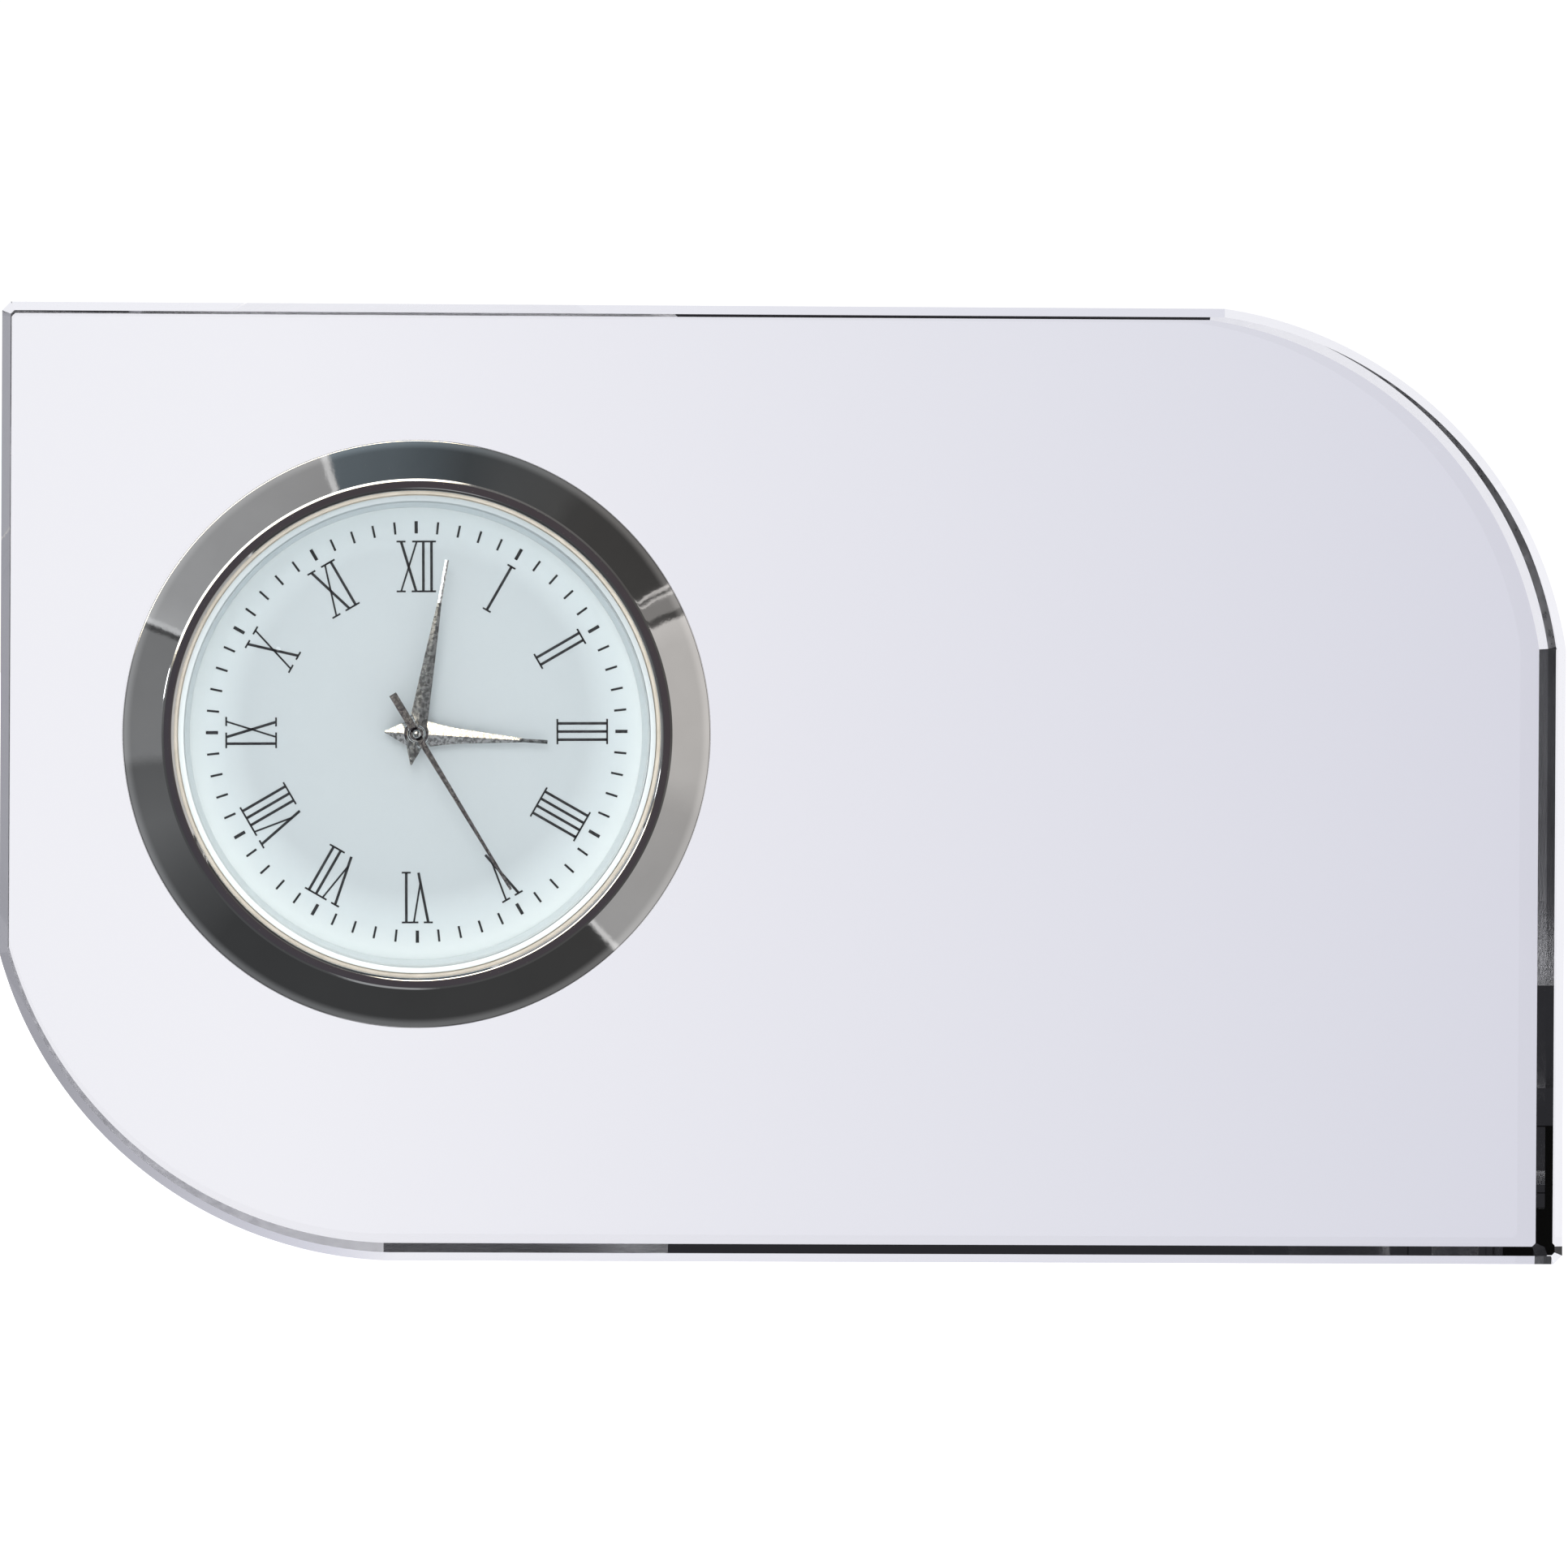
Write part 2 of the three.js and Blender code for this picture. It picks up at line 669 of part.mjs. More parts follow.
// The outline of the movement, let out on every side by a margin.
function movementOutline(margin) {
  const wide = PLATE_HALF_WIDTH + margin;
  const top = PLATE_TOP + margin;
  const bottom = PLATE_BOTTOM - margin;
  return [
    [-wide, bottom + PLATE_CORNER],
    [PLATE_CORNER - wide, bottom],
    [wide - PLATE_CORNER, bottom],
    [wide, bottom + PLATE_CORNER],
    [wide, top - PLATE_CORNER],
    [wide - PLATE_CORNER, top],
    [PLATE_CORNER - wide, top],
    [-wide, top - PLATE_CORNER],
  ];
}

// The ring that holds the movement in the case, slotted for the stem.
function makeHolder() {
  const half = STEM_RADIUS + STEM_HOLE_PLAY;
  const disc = rod(holderRadius, dialBack + SEAT, holderBack, middle, ROUND);
  const room = plate(movementOutline(SEAT), dialBack - OVERRUN, holderBack + OVERRUN);
  const slot = block([0, holderRadius + OVERRUN], [stemAxis - half, holderBack + OVERRUN], [-half, half]);
  return disc.subtract(room).subtract(slot);
}

// The main plate: rims that carry the dial, pillars, posts, bearings and the stem's cradle.
function makeMainPlate() {
  const outline = movementOutline(0);
  const half = CLUTCH_RADIUS + WINDOW_MARGIN;
  const past = PLATE_HALF_WIDTH + OVERRUN;
  const work = block([-past, past], [dialBack, plateFront], [RIM_BELOW, RIM_ABOVE]);
  let body = plate(outline, dialBack + SEAT, plateBack).subtract(work);
  for (const [x, z] of PILLARS) {
    body = body.add(rod(PILLAR_RADIUS, plateBack - BITE, bridgeFront - SEAT, { x, z }, SMALL_ROUND));
  }
  body = body.add(rod(MINUTE_POST_RADIUS, hourLayer - BITE, plateFront + BITE, minute));
  const stud = { x: grooveMiddle, z: -LEVER_LENGTH };
  body = body.add(rod(LEVER_STUD_RADIUS, plateBack - BITE, leverBack + BITE, stud));
  body = body.add(
    block(
      [PLATE_HALF_WIDTH - CRADLE_LENGTH, PLATE_HALF_WIDTH],
      [plateBack - BITE, stemAxis + CRADLE_HEIGHT],
      [-CRADLE_HALF_WIDTH, CRADLE_HALF_WIDTH],
    ),
  );
  body = body.subtract(crossRod(STEM_RADIUS + RUNNING, CLUTCH_START, past));
  const windowEnds = [CLUTCH_START - WINDOW_MARGIN, CLUTCH_START + CLUTCH_LENGTH + WINDOW_MARGIN];
  body = body.subtract(block(windowEnds, [plateFront - BITE, plateBack + BITE], [-half, half]));
  body = body.subtract(rod(hourBore, plateFront - BITE, plateBack + BITE, middle, SMALL_ROUND));
  for (const at of [third, step, rotor]) {
    body = body.subtract(rod(ARBOR_RADIUS + RUNNING, plateFront - BITE, plateBack + BITE, at));
  }
  for (const [x, z] of FEET) {
    body = body.subtract(rod(FOOT_RADIUS + SEAT, dialBack, dialBack + FOOT_LENGTH + SEAT, { x, z }));
  }
  for (const [x, z] of PILLARS) {
    body = body.subtract(rod(SCREW_RADIUS + SEAT, plateFront + BITE, bridgeFront, { x, z }));
  }
  for (const x of [-COIL_SCREW_OFFSET, COIL_SCREW_OFFSET]) {
    body = body.subtract(rod(SCREW_RADIUS + SEAT, plateFront + BITE, statorFront, { x, z: COIL_ABOVE }));
  }
  return body;
}

// The bridge over the wheel train, with bearings and screw holes.
function makeBridge() {
  let body = plate(BRIDGE_OUTLINE, bridgeFront, bridgeBack);
  for (const at of [third, step, rotor]) {
    body = body.subtract(rod(ARBOR_RADIUS + RUNNING, bridgeFront - BITE, bridgeBack + BITE, at));
  }
  body = body.subtract(rod(SECOND_ARBOR_RADIUS + RUNNING, bridgeFront - BITE, bridgeBack + BITE));
  for (const [x, z] of PILLARS) {
    body = body.subtract(rod(SCREW_RADIUS + SEAT, bridgeFront - BITE, bridgeBack + BITE, { x, z }));
  }
  return body;
}

// A slotted cheese-head screw whose head rests on a face at a given depth.
function makeScrew(at, tip, under) {
  const top = under + SEAT + SCREW_HEAD_HEIGHT;
  const head = rod(SCREW_HEAD_RADIUS, under + SEAT, top, at, SMALL_ROUND);
  const shank = rod(SCREW_RADIUS, tip, under + SEAT + BITE, at);
  const half = SCREW_SLOT / 2;
  const reach = SCREW_HEAD_RADIUS + BITE;
  const slot = block([at.x - reach, at.x + reach], [top - BITE, top + BITE], [at.z - half, at.z + half]);
  return head.add(shank).subtract(slot);
}

// An arbor between the main plate and the bridge.
function arbor(at) {
  return rod(ARBOR_RADIUS, plateBack - PIVOT_LENGTH, bridgeFront + PIVOT_LENGTH, at);
}

// A hand from its shape: ridged facets if asked for, a boss, a bore, turned to where it rests.
function makeHand({ shares, length, halfWidth, ridged, rest }, back, boss, bore) {
  const face = back - HAND_THICKNESS;
  const shape = shares.map(([along, across]) => [along * length, across * halfWidth]);
  const left = shape.map(([along, half]) => [-half, along]).reverse();
  let body = plate([...shape.map(([along, half]) => [half, along]), ...left], face, back);
  if (ridged) {
    const reach = length + OVERRUN;
    const roof = new THREE.Shape(
      [
        [-halfWidth, back + BITE],
        [halfWidth, back + BITE],
        [halfWidth, back - HAND_EDGE],
        [0, face],
        [-halfWidth, back - HAND_EDGE],
      ].map(([x, depth]) => new THREE.Vector2(x, depth)),
    );
    const prism = new THREE.ExtrudeGeometry(roof, { depth: 2 * reach, bevelEnabled: false });
    body = body.intersect(bodyOf(prism.translate(0, 0, -reach)));
  }
  body = body.add(rod(boss, face, back, middle, SMALL_ROUND));
  return body.subtract(rod(bore, face - BITE, back + BITE, middle, SMALL_ROUND)).rotate(0, rest, 0);
}

// The motor's stator, open around the rotor's magnet.
function makeStator() {
  const opening = rod(MAGNET_RADIUS + STATOR_GAP, statorFront - BITE, statorBack + BITE, rotor, SMALL_ROUND);
  let body = plate(STATOR_OUTLINE, statorFront, statorBack).subtract(opening);
  for (const x of [-COIL_SCREW_OFFSET, COIL_SCREW_OFFSET]) {
    const at = { x, z: COIL_ABOVE };
    body = body.subtract(rod(SCREW_RADIUS + SEAT, statorFront - BITE, statorBack + BITE, at));
  }
  return body;
}

// The coil's flat core, screwed to the stator at both ends.
function makeCore() {
  const sides = [COIL_ABOVE - CORE_HALF_WIDTH, COIL_ABOVE + CORE_HALF_WIDTH];
  let body = block([-CORE_HALF_LENGTH, CORE_HALF_LENGTH], [coreFront, coreBack], sides);
  for (const x of [-COIL_SCREW_OFFSET, COIL_SCREW_OFFSET]) {
    body = body.subtract(rod(SCREW_RADIUS + SEAT, coreFront - BITE, coreBack + BITE, { x, z: COIL_ABOVE }));
  }
  return body;
}

// The winding on its bobbin, around the core.
function makeWinding() {
  const inner = COIL_HALF_LENGTH - COIL_FLANGE_THICKNESS;
  const wire = crossRod(COIL_RADIUS, -COIL_HALF_LENGTH, COIL_HALF_LENGTH, coilAxis, COIL_ABOVE);
  const leftFlange = crossRod(COIL_FLANGE, -COIL_HALF_LENGTH, -inner, coilAxis, COIL_ABOVE);
  const rightFlange = crossRod(COIL_FLANGE, inner, COIL_HALF_LENGTH, coilAxis, COIL_ABOVE);
  const room = block(
    [-COIL_HALF_LENGTH - OVERRUN, COIL_HALF_LENGTH + OVERRUN],
    [coreFront - SEAT, coreBack + SEAT],
    [COIL_ABOVE - CORE_HALF_WIDTH - SEAT, COIL_ABOVE + CORE_HALF_WIDTH + SEAT],
  );
  return wire.add(leftFlange).add(rightFlange).subtract(room);
}

// The quartz crystal's can, lying along the board's outer edge.
function makeCan() {
  const geometry = new THREE.CylinderGeometry(CAN_RADIUS, CAN_RADIUS, CAN_LENGTH, SMALL_ROUND);
  const height = BOARD_BOTTOM + SEAT + CAN_LENGTH / 2;
  geometry.rotateX(Math.PI / 2);
  return bodyOf(geometry.translate(BOARD_LEFT + CAN_RADIUS + SEAT, boardBack + SEAT + CAN_RADIUS, height));
}

// The timing chip on the board.
function makeChip() {
  const left = BOARD_RIGHT - CHIP_SIZE - SEAT;
  const top = BOARD_TOP - CHIP_DROP;
  const depth = [boardBack + SEAT, boardBack + SEAT + CHIP_HEIGHT];
  return block([left, left + CHIP_SIZE], depth, [top - CHIP_SIZE, top]);
}

// The button cell: a can with a smaller cap towards the plate.
function makeCell() {
  const cell = turned(
    [
      [0, cellFront],
      [CELL_CAP_RADIUS, cellFront],
      [CELL_CAP_RADIUS, cellFront + CELL_CAP_STEP],
      [CELL_RADIUS - CELL_BEVEL, cellFront + CELL_CAP_STEP],
      [CELL_RADIUS, cellFront + CELL_CAP_STEP + CELL_BEVEL],
      [CELL_RADIUS, cellBack - CELL_BEVEL],
      [CELL_RADIUS - CELL_BEVEL, cellBack],
      [0, cellBack],
    ],
    ROUND / 2,
  );
  return cell.translate(0, 0, -CELL_DROP);
}

// The contact strip from the board to the cell's cap.
function makeContact() {
  const sides = [-CELL_DROP - CONTACT_HALF_WIDTH, CONTACT_HALF_WIDTH - CELL_DROP];
  return block([BOARD_RIGHT + SEAT, CONTACT_REACH], [boardFront, boardFront + CONTACT_THICKNESS], sides);
}

// The spring strap from the bridge over the back of the cell.
function makeClip() {
  const sides = [-CLIP_HALF_WIDTH, CLIP_HALF_WIDTH];
  const padFront = bridgeBack + SEAT;
  const riserEnd = CONTACT_THICKNESS - CLIP_RISER_DROP;
  const padTop = CLIP_PAD - CLIP_RISER_DROP;
  const pad = block(sides, [padFront, padFront + CONTACT_THICKNESS], [-CLIP_RISER_DROP, padTop]);
  const riser = block(sides, [padFront, clipBack], [-CLIP_RISER_DROP, riserEnd]);
  const strap = block(sides, [clipFront, clipBack], [CLIP_SHORT - CELL_DROP - CELL_RADIUS, riserEnd]);
  return pad.add(riser).add(strap);
}

// The stem: a square for the clutch, a groove for the lever and a round shank to the crown.
function makeStem() {
  const square = block(
    [STEM_START, GROOVE_START + BITE],
    [stemAxis - STEM_SQUARE, stemAxis + STEM_SQUARE],
    [-STEM_SQUARE, STEM_SQUARE],
  );
  const grooveEnd = GROOVE_START + GROOVE_WIDTH;
  const collar = crossRod(STEM_RADIUS, GROOVE_START - BITE, GROOVE_START);
  const groove = crossRod(GROOVE_RADIUS, GROOVE_START - BITE / 2, grooveEnd + BITE);
  const shank = crossRod(STEM_RADIUS, grooveEnd, stemEnd);
  const cut = crossRod(STEM_RADIUS, GROOVE_START, grooveEnd);
  return square.subtract(cut).add(collar).add(groove).add(shank);
}

// A toothed wheel around the stem's line.
function crossGear(teeth, root, tip, left, right) {
  const shape = new THREE.Shape(toothed(teeth, root, tip, 0).map(([x, y]) => new THREE.Vector2(x, y)));
  const geometry = new THREE.ExtrudeGeometry(shape, { depth: right - left, bevelEnabled: false });
  return bodyOf(geometry.rotateY(Math.PI / 2).translate(left, stemAxis, 0));
}

// The clutch pinion, turned by the stem's square.
function makeClutch() {
  const end = CLUTCH_START + CLUTCH_LENGTH;
  const half = STEM_SQUARE + RUNNING;
  const room = block([CLUTCH_START - BITE, end + BITE], [stemAxis - half, stemAxis + half], [-half, half]);
  const root = CLUTCH_RADIUS - CROWN_TOOTH;
  return crossGear(CLUTCH_TEETH, root, CLUTCH_RADIUS, CLUTCH_START, end).subtract(room);
}

// The crown: a knurled knob on the stem's outer end.
function makeCrown() {
  const shoulder = crownEnd - CROWN_STEP;
  const knob = crossGear(CROWN_TEETH, CROWN_RADIUS - CROWN_TOOTH, CROWN_RADIUS, crownStart, shoulder);
  const face = crossRod(CROWN_RADIUS - 2 * CROWN_TOOTH, shoulder - BITE, crownEnd);
  return knob.add(face).subtract(crossRod(STEM_RADIUS + SEAT, crownStart - BITE, stemEnd + SEAT));
}

// The setting lever: it turns on a stud, and its pin rides in the stem's groove.
function makeLever() {
  const eye = { x: grooveMiddle, z: -LEVER_LENGTH };
  const nose = { x: grooveMiddle, z: 0 };
  const arm = plate(
    [
      [eye.x - LEVER_EYE, eye.z],
      [eye.x + LEVER_EYE, eye.z],
      [nose.x + LEVER_NOSE, nose.z],
      [nose.x - LEVER_NOSE, nose.z],
    ],
    leverFront,
    leverBack,
  );
  const pinTip = stemAxis + GROOVE_RADIUS + LEVER_PIN_CLEAR;
  return arm
    .add(rod(LEVER_EYE, leverFront, leverBack, eye, SMALL_ROUND))
    .add(rod(LEVER_NOSE, leverFront, leverBack, nose, SMALL_ROUND))
    .add(rod(LEVER_PIN_RADIUS, pinTip, leverBack - BITE, nose))
    .subtract(rod(LEVER_STUD_RADIUS + RUNNING, leverFront - BITE, leverBack + BITE, eye));
}

// Finishes.
function finish(color, roughness, metalness) {
  return new THREE.MeshStandardMaterial({ color, roughness, metalness });
}
const clearGlass = finish(0xdfe2ec, 0.05, 0);
clearGlass.transparent = true;
clearGlass.opacity = 0.35;
const chrome = finish(0xc9c9cc, 0.08, 1);
const brass = finish(0xc8a55a, 0.3, 1);
const steel = finish(0xb4b6ba, 0.35, 1);
const silver = finish(0xdadbdd, 0.2, 1);
const paleDial = finish(0xe4ecee, 0.5, 0);
const clearRubber = finish(0xd8d4c8, 0.4, 0);
const darkRubber = finish(0x26272a, 0.7, 0);
const whitePlastic = finish(0xe8e8e4, 0.45, 0);
const blackPlastic = finish(0x1d1e21, 0.5, 0);
const greenBoard = finish(0x2f6b4a, 0.5, 0);
const copper = finish(0xb0683a, 0.35, 1);

const clock = new THREE.Group();

// Adds one named piece; pieces of the insert are shaped about the dial's middle and moved to the bore.
function add(name, body, material, inBore = true) {
  const made = (inBore ? body.translate(clockX, 0, clockZ) : body).getMesh();
  const geometry = new THREE.BufferGeometry();
  geometry.setAttribute('position', new THREE.BufferAttribute(made.vertProperties, 3));
  geometry.setIndex(new THREE.BufferAttribute(made.triVerts, 1));
  geometry.computeVertexNormals();
  const piece = new THREE.Mesh(geometry, material);
  piece.name = name;
  clock.add(piece);
}

// Meshes of the train, each from the driving gear to the driven one.
const rotorToStep = meshed(rotor, ROTOR_TEETH, step, STEP_TEETH);
const stepToSecond = meshed(step, STEP_LEAVES, middle, SECOND_TEETH);
const secondToThird = meshed(middle, SECOND_LEAVES, third, THIRD_TEETH);
const thirdToCentre = meshed(third, THIRD_LEAVES, middle, CENTRE_TEETH);
const cannonToMinute = meshed(middle, CANNON_LEAVES, minute, MINUTE_TEETH);
const minuteToHour = meshed(minute, MINUTE_LEAVES, middle, HOUR_TEETH);

// The front ends of the three pipes, just past the hands that they carry.
const hourPipeFront = hourHandBack - HAND_THICKNESS - SEAT;
const cannonFront = minuteHandBack - HAND_THICKNESS - SEAT;
const arborFront = secondHandBack - HAND_THICKNESS - TIP_STAND;

add('glass_block', makeBlock(), clearGlass, false);
add('bezel', makeBezel(), chrome);
add('lens', makeLens(), clearGlass);
add('lens_gasket', makeGasket(), clearRubber);
add('dial_spacer', makeSpacer(), whitePlastic);
add('dial', makeDial(), paleDial);
add('case_body', makeCase(), steel);
add('grip_ring', makeGrip(), clearRubber);
add('back_cover', makeCover(), steel);
add('back_seal', makeSeal(), darkRubber);
add('movement_holder', makeHolder(), whitePlastic);

const hourBoss = hourPipeRadius + HAND_BOSS_WALL;
const minuteBoss = cannonRadius + HAND_BOSS_WALL;
const hourHole = hourPipeRadius + HAND_FIT;
const minuteHole = cannonRadius + HAND_FIT;
const secondHole = SECOND_ARBOR_RADIUS + HAND_FIT;
const hourForm = {
  shares: HOUR_SHAPE,
  length: HOUR_LENGTH,
  halfWidth: HOUR_HALF_WIDTH,
  ridged: true,
  rest: HOUR_REST,
};
const minuteForm = {
  shares: MINUTE_SHAPE,
  length: MINUTE_LENGTH,
  halfWidth: MINUTE_HALF_WIDTH,
  ridged: true,
  rest: MINUTE_REST,
};
const secondForm = {
  shares: SECOND_SHAPE,
  length: SECOND_LENGTH,
  halfWidth: SECOND_HALF_WIDTH,
  ridged: false,
  rest: SECOND_REST,
};
add('hour_hand', makeHand(hourForm, hourHandBack, hourBoss, hourHole), silver);
add('minute_hand', makeHand(minuteForm, minuteHandBack, minuteBoss, minuteHole), silver);
add('second_hand', makeHand(secondForm, secondHandBack, SECOND_BOSS, secondHole), silver);

add('main_plate', makeMainPlate(), brass);
add('train_bridge', makeBridge(), brass);
PILLARS.forEach(([x, z], n) => {
  add(`bridge_screw_${n + 1}`, makeScrew({ x, z }, plateFront + BITE + SEAT, bridgeBack), steel);
});

const secondArbor = rod(SECOND_ARBOR_RADIUS, arborFront, bridgeFront + PIVOT_LENGTH);
const secondPinion = secondToThird.first(thirdLayer, PINION_OVERHANG);
add('second_wheel', stepToSecond.second(secondLayer, 0).add(secondPinion).add(secondArbor), brass);

const thirdPinion = thirdToCentre.first(centreLayer, PINION_OVERHANG);
add('third_wheel', secondToThird.second(thirdLayer, 0).add(thirdPinion).add(arbor(third)), brass);

const cannonBack = centreLayer + GEAR_THICKNESS;
const centreHole = rod(minuteHole, centreLayer - BITE, cannonBack + BITE, middle, SMALL_ROUND);
add('centre_wheel', thirdToCentre.second(centreLayer, 0).subtract(centreHole), brass);

const cannonTube = rod(cannonRadius, cannonFront, cannonBack, middle, SMALL_ROUND);
const cannonRoom = rod(cannonBore, cannonFront - BITE, cannonBack + BITE);
const cannonLeaves = cannonToMinute.first(minuteLayer, PINION_OVERHANG);
add('cannon_pinion', cannonLeaves.add(cannonTube).subtract(cannonRoom), steel);

const minuteCollar = rod(2 * MINUTE_POST_RADIUS, hourLayer, minuteLayer + BITE, minute);
const minuteHub = minuteToHour.first(hourLayer, PINION_OVERHANG).add(minuteCollar);
const minuteRoom = rod(MINUTE_POST_RADIUS + RUNNING, hourLayer - BITE, plateFront, minute);
add('minute_wheel', cannonToMinute.second(minuteLayer, 0).add(minuteHub).subtract(minuteRoom), brass);

const hourBack = hourLayer + GEAR_THICKNESS;
const hourPipe = rod(hourPipeRadius, hourPipeFront, hourBack, middle, SMALL_ROUND);
const hourRoom = rod(hourBore, hourPipeFront - BITE, hourBack + BITE, middle, SMALL_ROUND);
add('hour_wheel', minuteToHour.second(hourLayer, 0).add(hourPipe).subtract(hourRoom), brass);

const washerFront = dialBack + SEAT;
const washerBack = washerFront + WASHER_THICKNESS;
add('dial_washer', washer(dialHole, dialHole + WASHER_WIDTH, washerFront, washerBack, SMALL_ROUND), brass);

const stepPinion = stepToSecond.first(secondLayer, PINION_OVERHANG);
add('step_wheel', rotorToStep.second(stepLayer, 0).add(stepPinion).add(arbor(step)), brass);

const magnet = rod(MAGNET_RADIUS, statorFront, statorFront + MAGNET_LENGTH, rotor, SMALL_ROUND);
add('rotor', rotorToStep.first(stepLayer, PINION_OVERHANG).add(magnet).add(arbor(rotor)), steel);

add('stator', makeStator(), steel);
add('coil_core', makeCore(), steel);
add('coil_winding', makeWinding(), copper);
[-COIL_SCREW_OFFSET, COIL_SCREW_OFFSET].forEach((x, n) => {
  add(`coil_screw_${n + 1}`, makeScrew({ x, z: COIL_ABOVE }, plateFront + BITE + SEAT, coreBack), steel);
});

const board = block([BOARD_LEFT, BOARD_RIGHT], [boardFront, boardBack], [BOARD_BOTTOM, BOARD_TOP]);
add('circuit_board', board, greenBoard);
add('quartz_can', makeCan(), steel);
add('timing_chip', makeChip(), blackPlastic);
add('button_cell', makeCell(), silver);
add('cell_contact', makeContact(), brass);
add('cell_clip', makeClip(), steel);

add('setting_stem', makeStem(), steel);
add('clutch_pinion', makeClutch(), steel);
add('crown', makeCrown(), chrome);
add('setting_lever', makeLever(), steel);

export default clock;
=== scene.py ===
# %% [markdown]
# # A glass desk clock
# The clock is a polished glass block with a round clock head pushed into a bore.
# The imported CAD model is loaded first, as a fixed frame: every piece that is made here
# rides on one of its bodies, so the joints move the fine pieces as they move the solids.

# %% Load the frame
import json
import math
from functools import partial

import bpy
import numpy as np
from mathutils import Matrix, Vector


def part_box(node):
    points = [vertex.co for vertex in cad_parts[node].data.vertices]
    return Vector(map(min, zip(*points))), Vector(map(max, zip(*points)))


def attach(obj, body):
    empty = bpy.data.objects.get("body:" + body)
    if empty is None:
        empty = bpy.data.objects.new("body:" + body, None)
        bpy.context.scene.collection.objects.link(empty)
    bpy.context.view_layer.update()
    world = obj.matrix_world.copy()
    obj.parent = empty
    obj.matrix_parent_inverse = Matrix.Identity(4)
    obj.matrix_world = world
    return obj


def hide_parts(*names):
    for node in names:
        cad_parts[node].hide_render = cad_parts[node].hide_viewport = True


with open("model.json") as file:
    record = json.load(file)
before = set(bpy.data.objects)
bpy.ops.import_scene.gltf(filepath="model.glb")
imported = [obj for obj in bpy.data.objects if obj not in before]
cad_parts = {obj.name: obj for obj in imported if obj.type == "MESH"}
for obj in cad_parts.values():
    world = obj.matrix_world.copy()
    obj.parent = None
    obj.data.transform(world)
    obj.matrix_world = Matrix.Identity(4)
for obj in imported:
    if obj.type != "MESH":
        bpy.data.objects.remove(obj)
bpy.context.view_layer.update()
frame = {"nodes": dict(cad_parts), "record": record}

# %% [markdown]
# ## Shared sizes
# All sizes below are millimetres. The clock's axis runs along Y through the middle of the
# bezel, and the front of the glass is at the low end of the block, so both are measured on
# the CAD solids instead of being typed again.

# %% Measure the frame
MM = 0.001


def measured(node):
    """A CAD solid's lowest and highest corner, in millimetres."""
    return [np.array(corner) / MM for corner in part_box(node)]


block_low, block_high = measured("glass_block")
bezel_low, bezel_high = measured("bezel")
CLOCK_X, CLOCK_Z = ((bezel_low + bezel_high) / 2)[[0, 2]]
GLASS_FRONT = block_low[1]
GLASS_BACK = block_high[1]
print("clock axis at", CLOCK_X.round(2), CLOCK_Z.round(2), "glass from", GLASS_FRONT, "to", GLASS_BACK)

# %% [markdown]
# ## The camera
# The photograph was taken with a long lens from a little left of the middle, level with the
# upper part of the clock. A long lens keeps the block's sides almost edge-on, which is why
# only thin bands of the side walls show.

# %% Set up the camera
CAMERA_PLACE = np.array([-45.0, -1010.0, 46.7])
CAMERA_YAW = 0.04492
CAMERA_PITCH = -0.01616
CAMERA_ROLL = 0.00538
SENSOR = 36.0
LENS = 360.3


def put(name, data):
    """A new object of this data, linked into the scene."""
    made = bpy.data.objects.new(name, data)
    bpy.context.scene.collection.objects.link(made)
    return made


def camera_axes(yaw, pitch, roll):
    """Forward is Y turned by yaw and raised by pitch; right and up are square to it, turned by roll."""
    level = math.cos(pitch)
    forward = np.array([math.sin(yaw) * level, math.cos(yaw) * level, math.sin(pitch)])
    right = np.cross(forward, [0, 0, 1])
    right = right / np.linalg.norm(right)
    up = np.cross(right, forward)
    across = math.cos(roll) * right + math.sin(roll) * up
    upright = math.cos(roll) * up - math.sin(roll) * right
    return np.stack([across, upright, -forward], axis=1)


camera_data = bpy.data.cameras.new("long_lens")
camera_data.sensor_width = SENSOR
camera_data.lens = LENS
camera = put("long_lens", camera_data)
axes = Matrix(camera_axes(CAMERA_YAW, CAMERA_PITCH, CAMERA_ROLL).tolist())
camera.matrix_world = Matrix.Translation(Vector(CAMERA_PLACE * MM)) @ axes.to_4x4()
bpy.context.scene.camera = camera
print("camera lens", LENS, "mm at", CAMERA_PLACE)

# %% [markdown]
# ## From arrays to pieces
# A clock is nearly all turned and cut work, so almost every piece is one grid of points:
# closed loops, each joined to the next by a band of quads. Points that fall together, as at
# the middle of a disc, are welded, and the sign of the volume tells which way faces point.

# %% Helpers that skin loops and put arrays into meshes


def skinned(loops, closed=True):
    """Quads between neighbouring loops; a closed stack joins last to first, an open one is capped."""
    rows, count = loops.shape[:2]
    index = np.arange(rows * count).reshape(rows, count)
    ahead = np.roll(index, -1, axis=1)
    upper, upper_ahead = np.roll(index, -1, axis=0), np.roll(ahead, -1, axis=0)
    quads = np.stack([index, ahead, upper_ahead, upper], axis=-1)
    if closed:
        return loops.reshape(-1, 3), quads.reshape(-1, 4).tolist()
    faces = quads[:-1].reshape(-1, 4).tolist()
    return loops.reshape(-1, 3), faces + [index[0, ::-1].tolist(), index[-1].tolist()]


def welded(points, faces):
    """Points that coincide to a tenth of a micron become one, and corners that repeat leave their face."""
    _, first, where = np.unique(np.round(points, 4), axis=0, return_index=True, return_inverse=True)
    where = where.reshape(-1)
    slim = [list(dict.fromkeys(where[face].tolist())) for face in faces]
    return points[first], [face for face in slim if len(face) > 2]


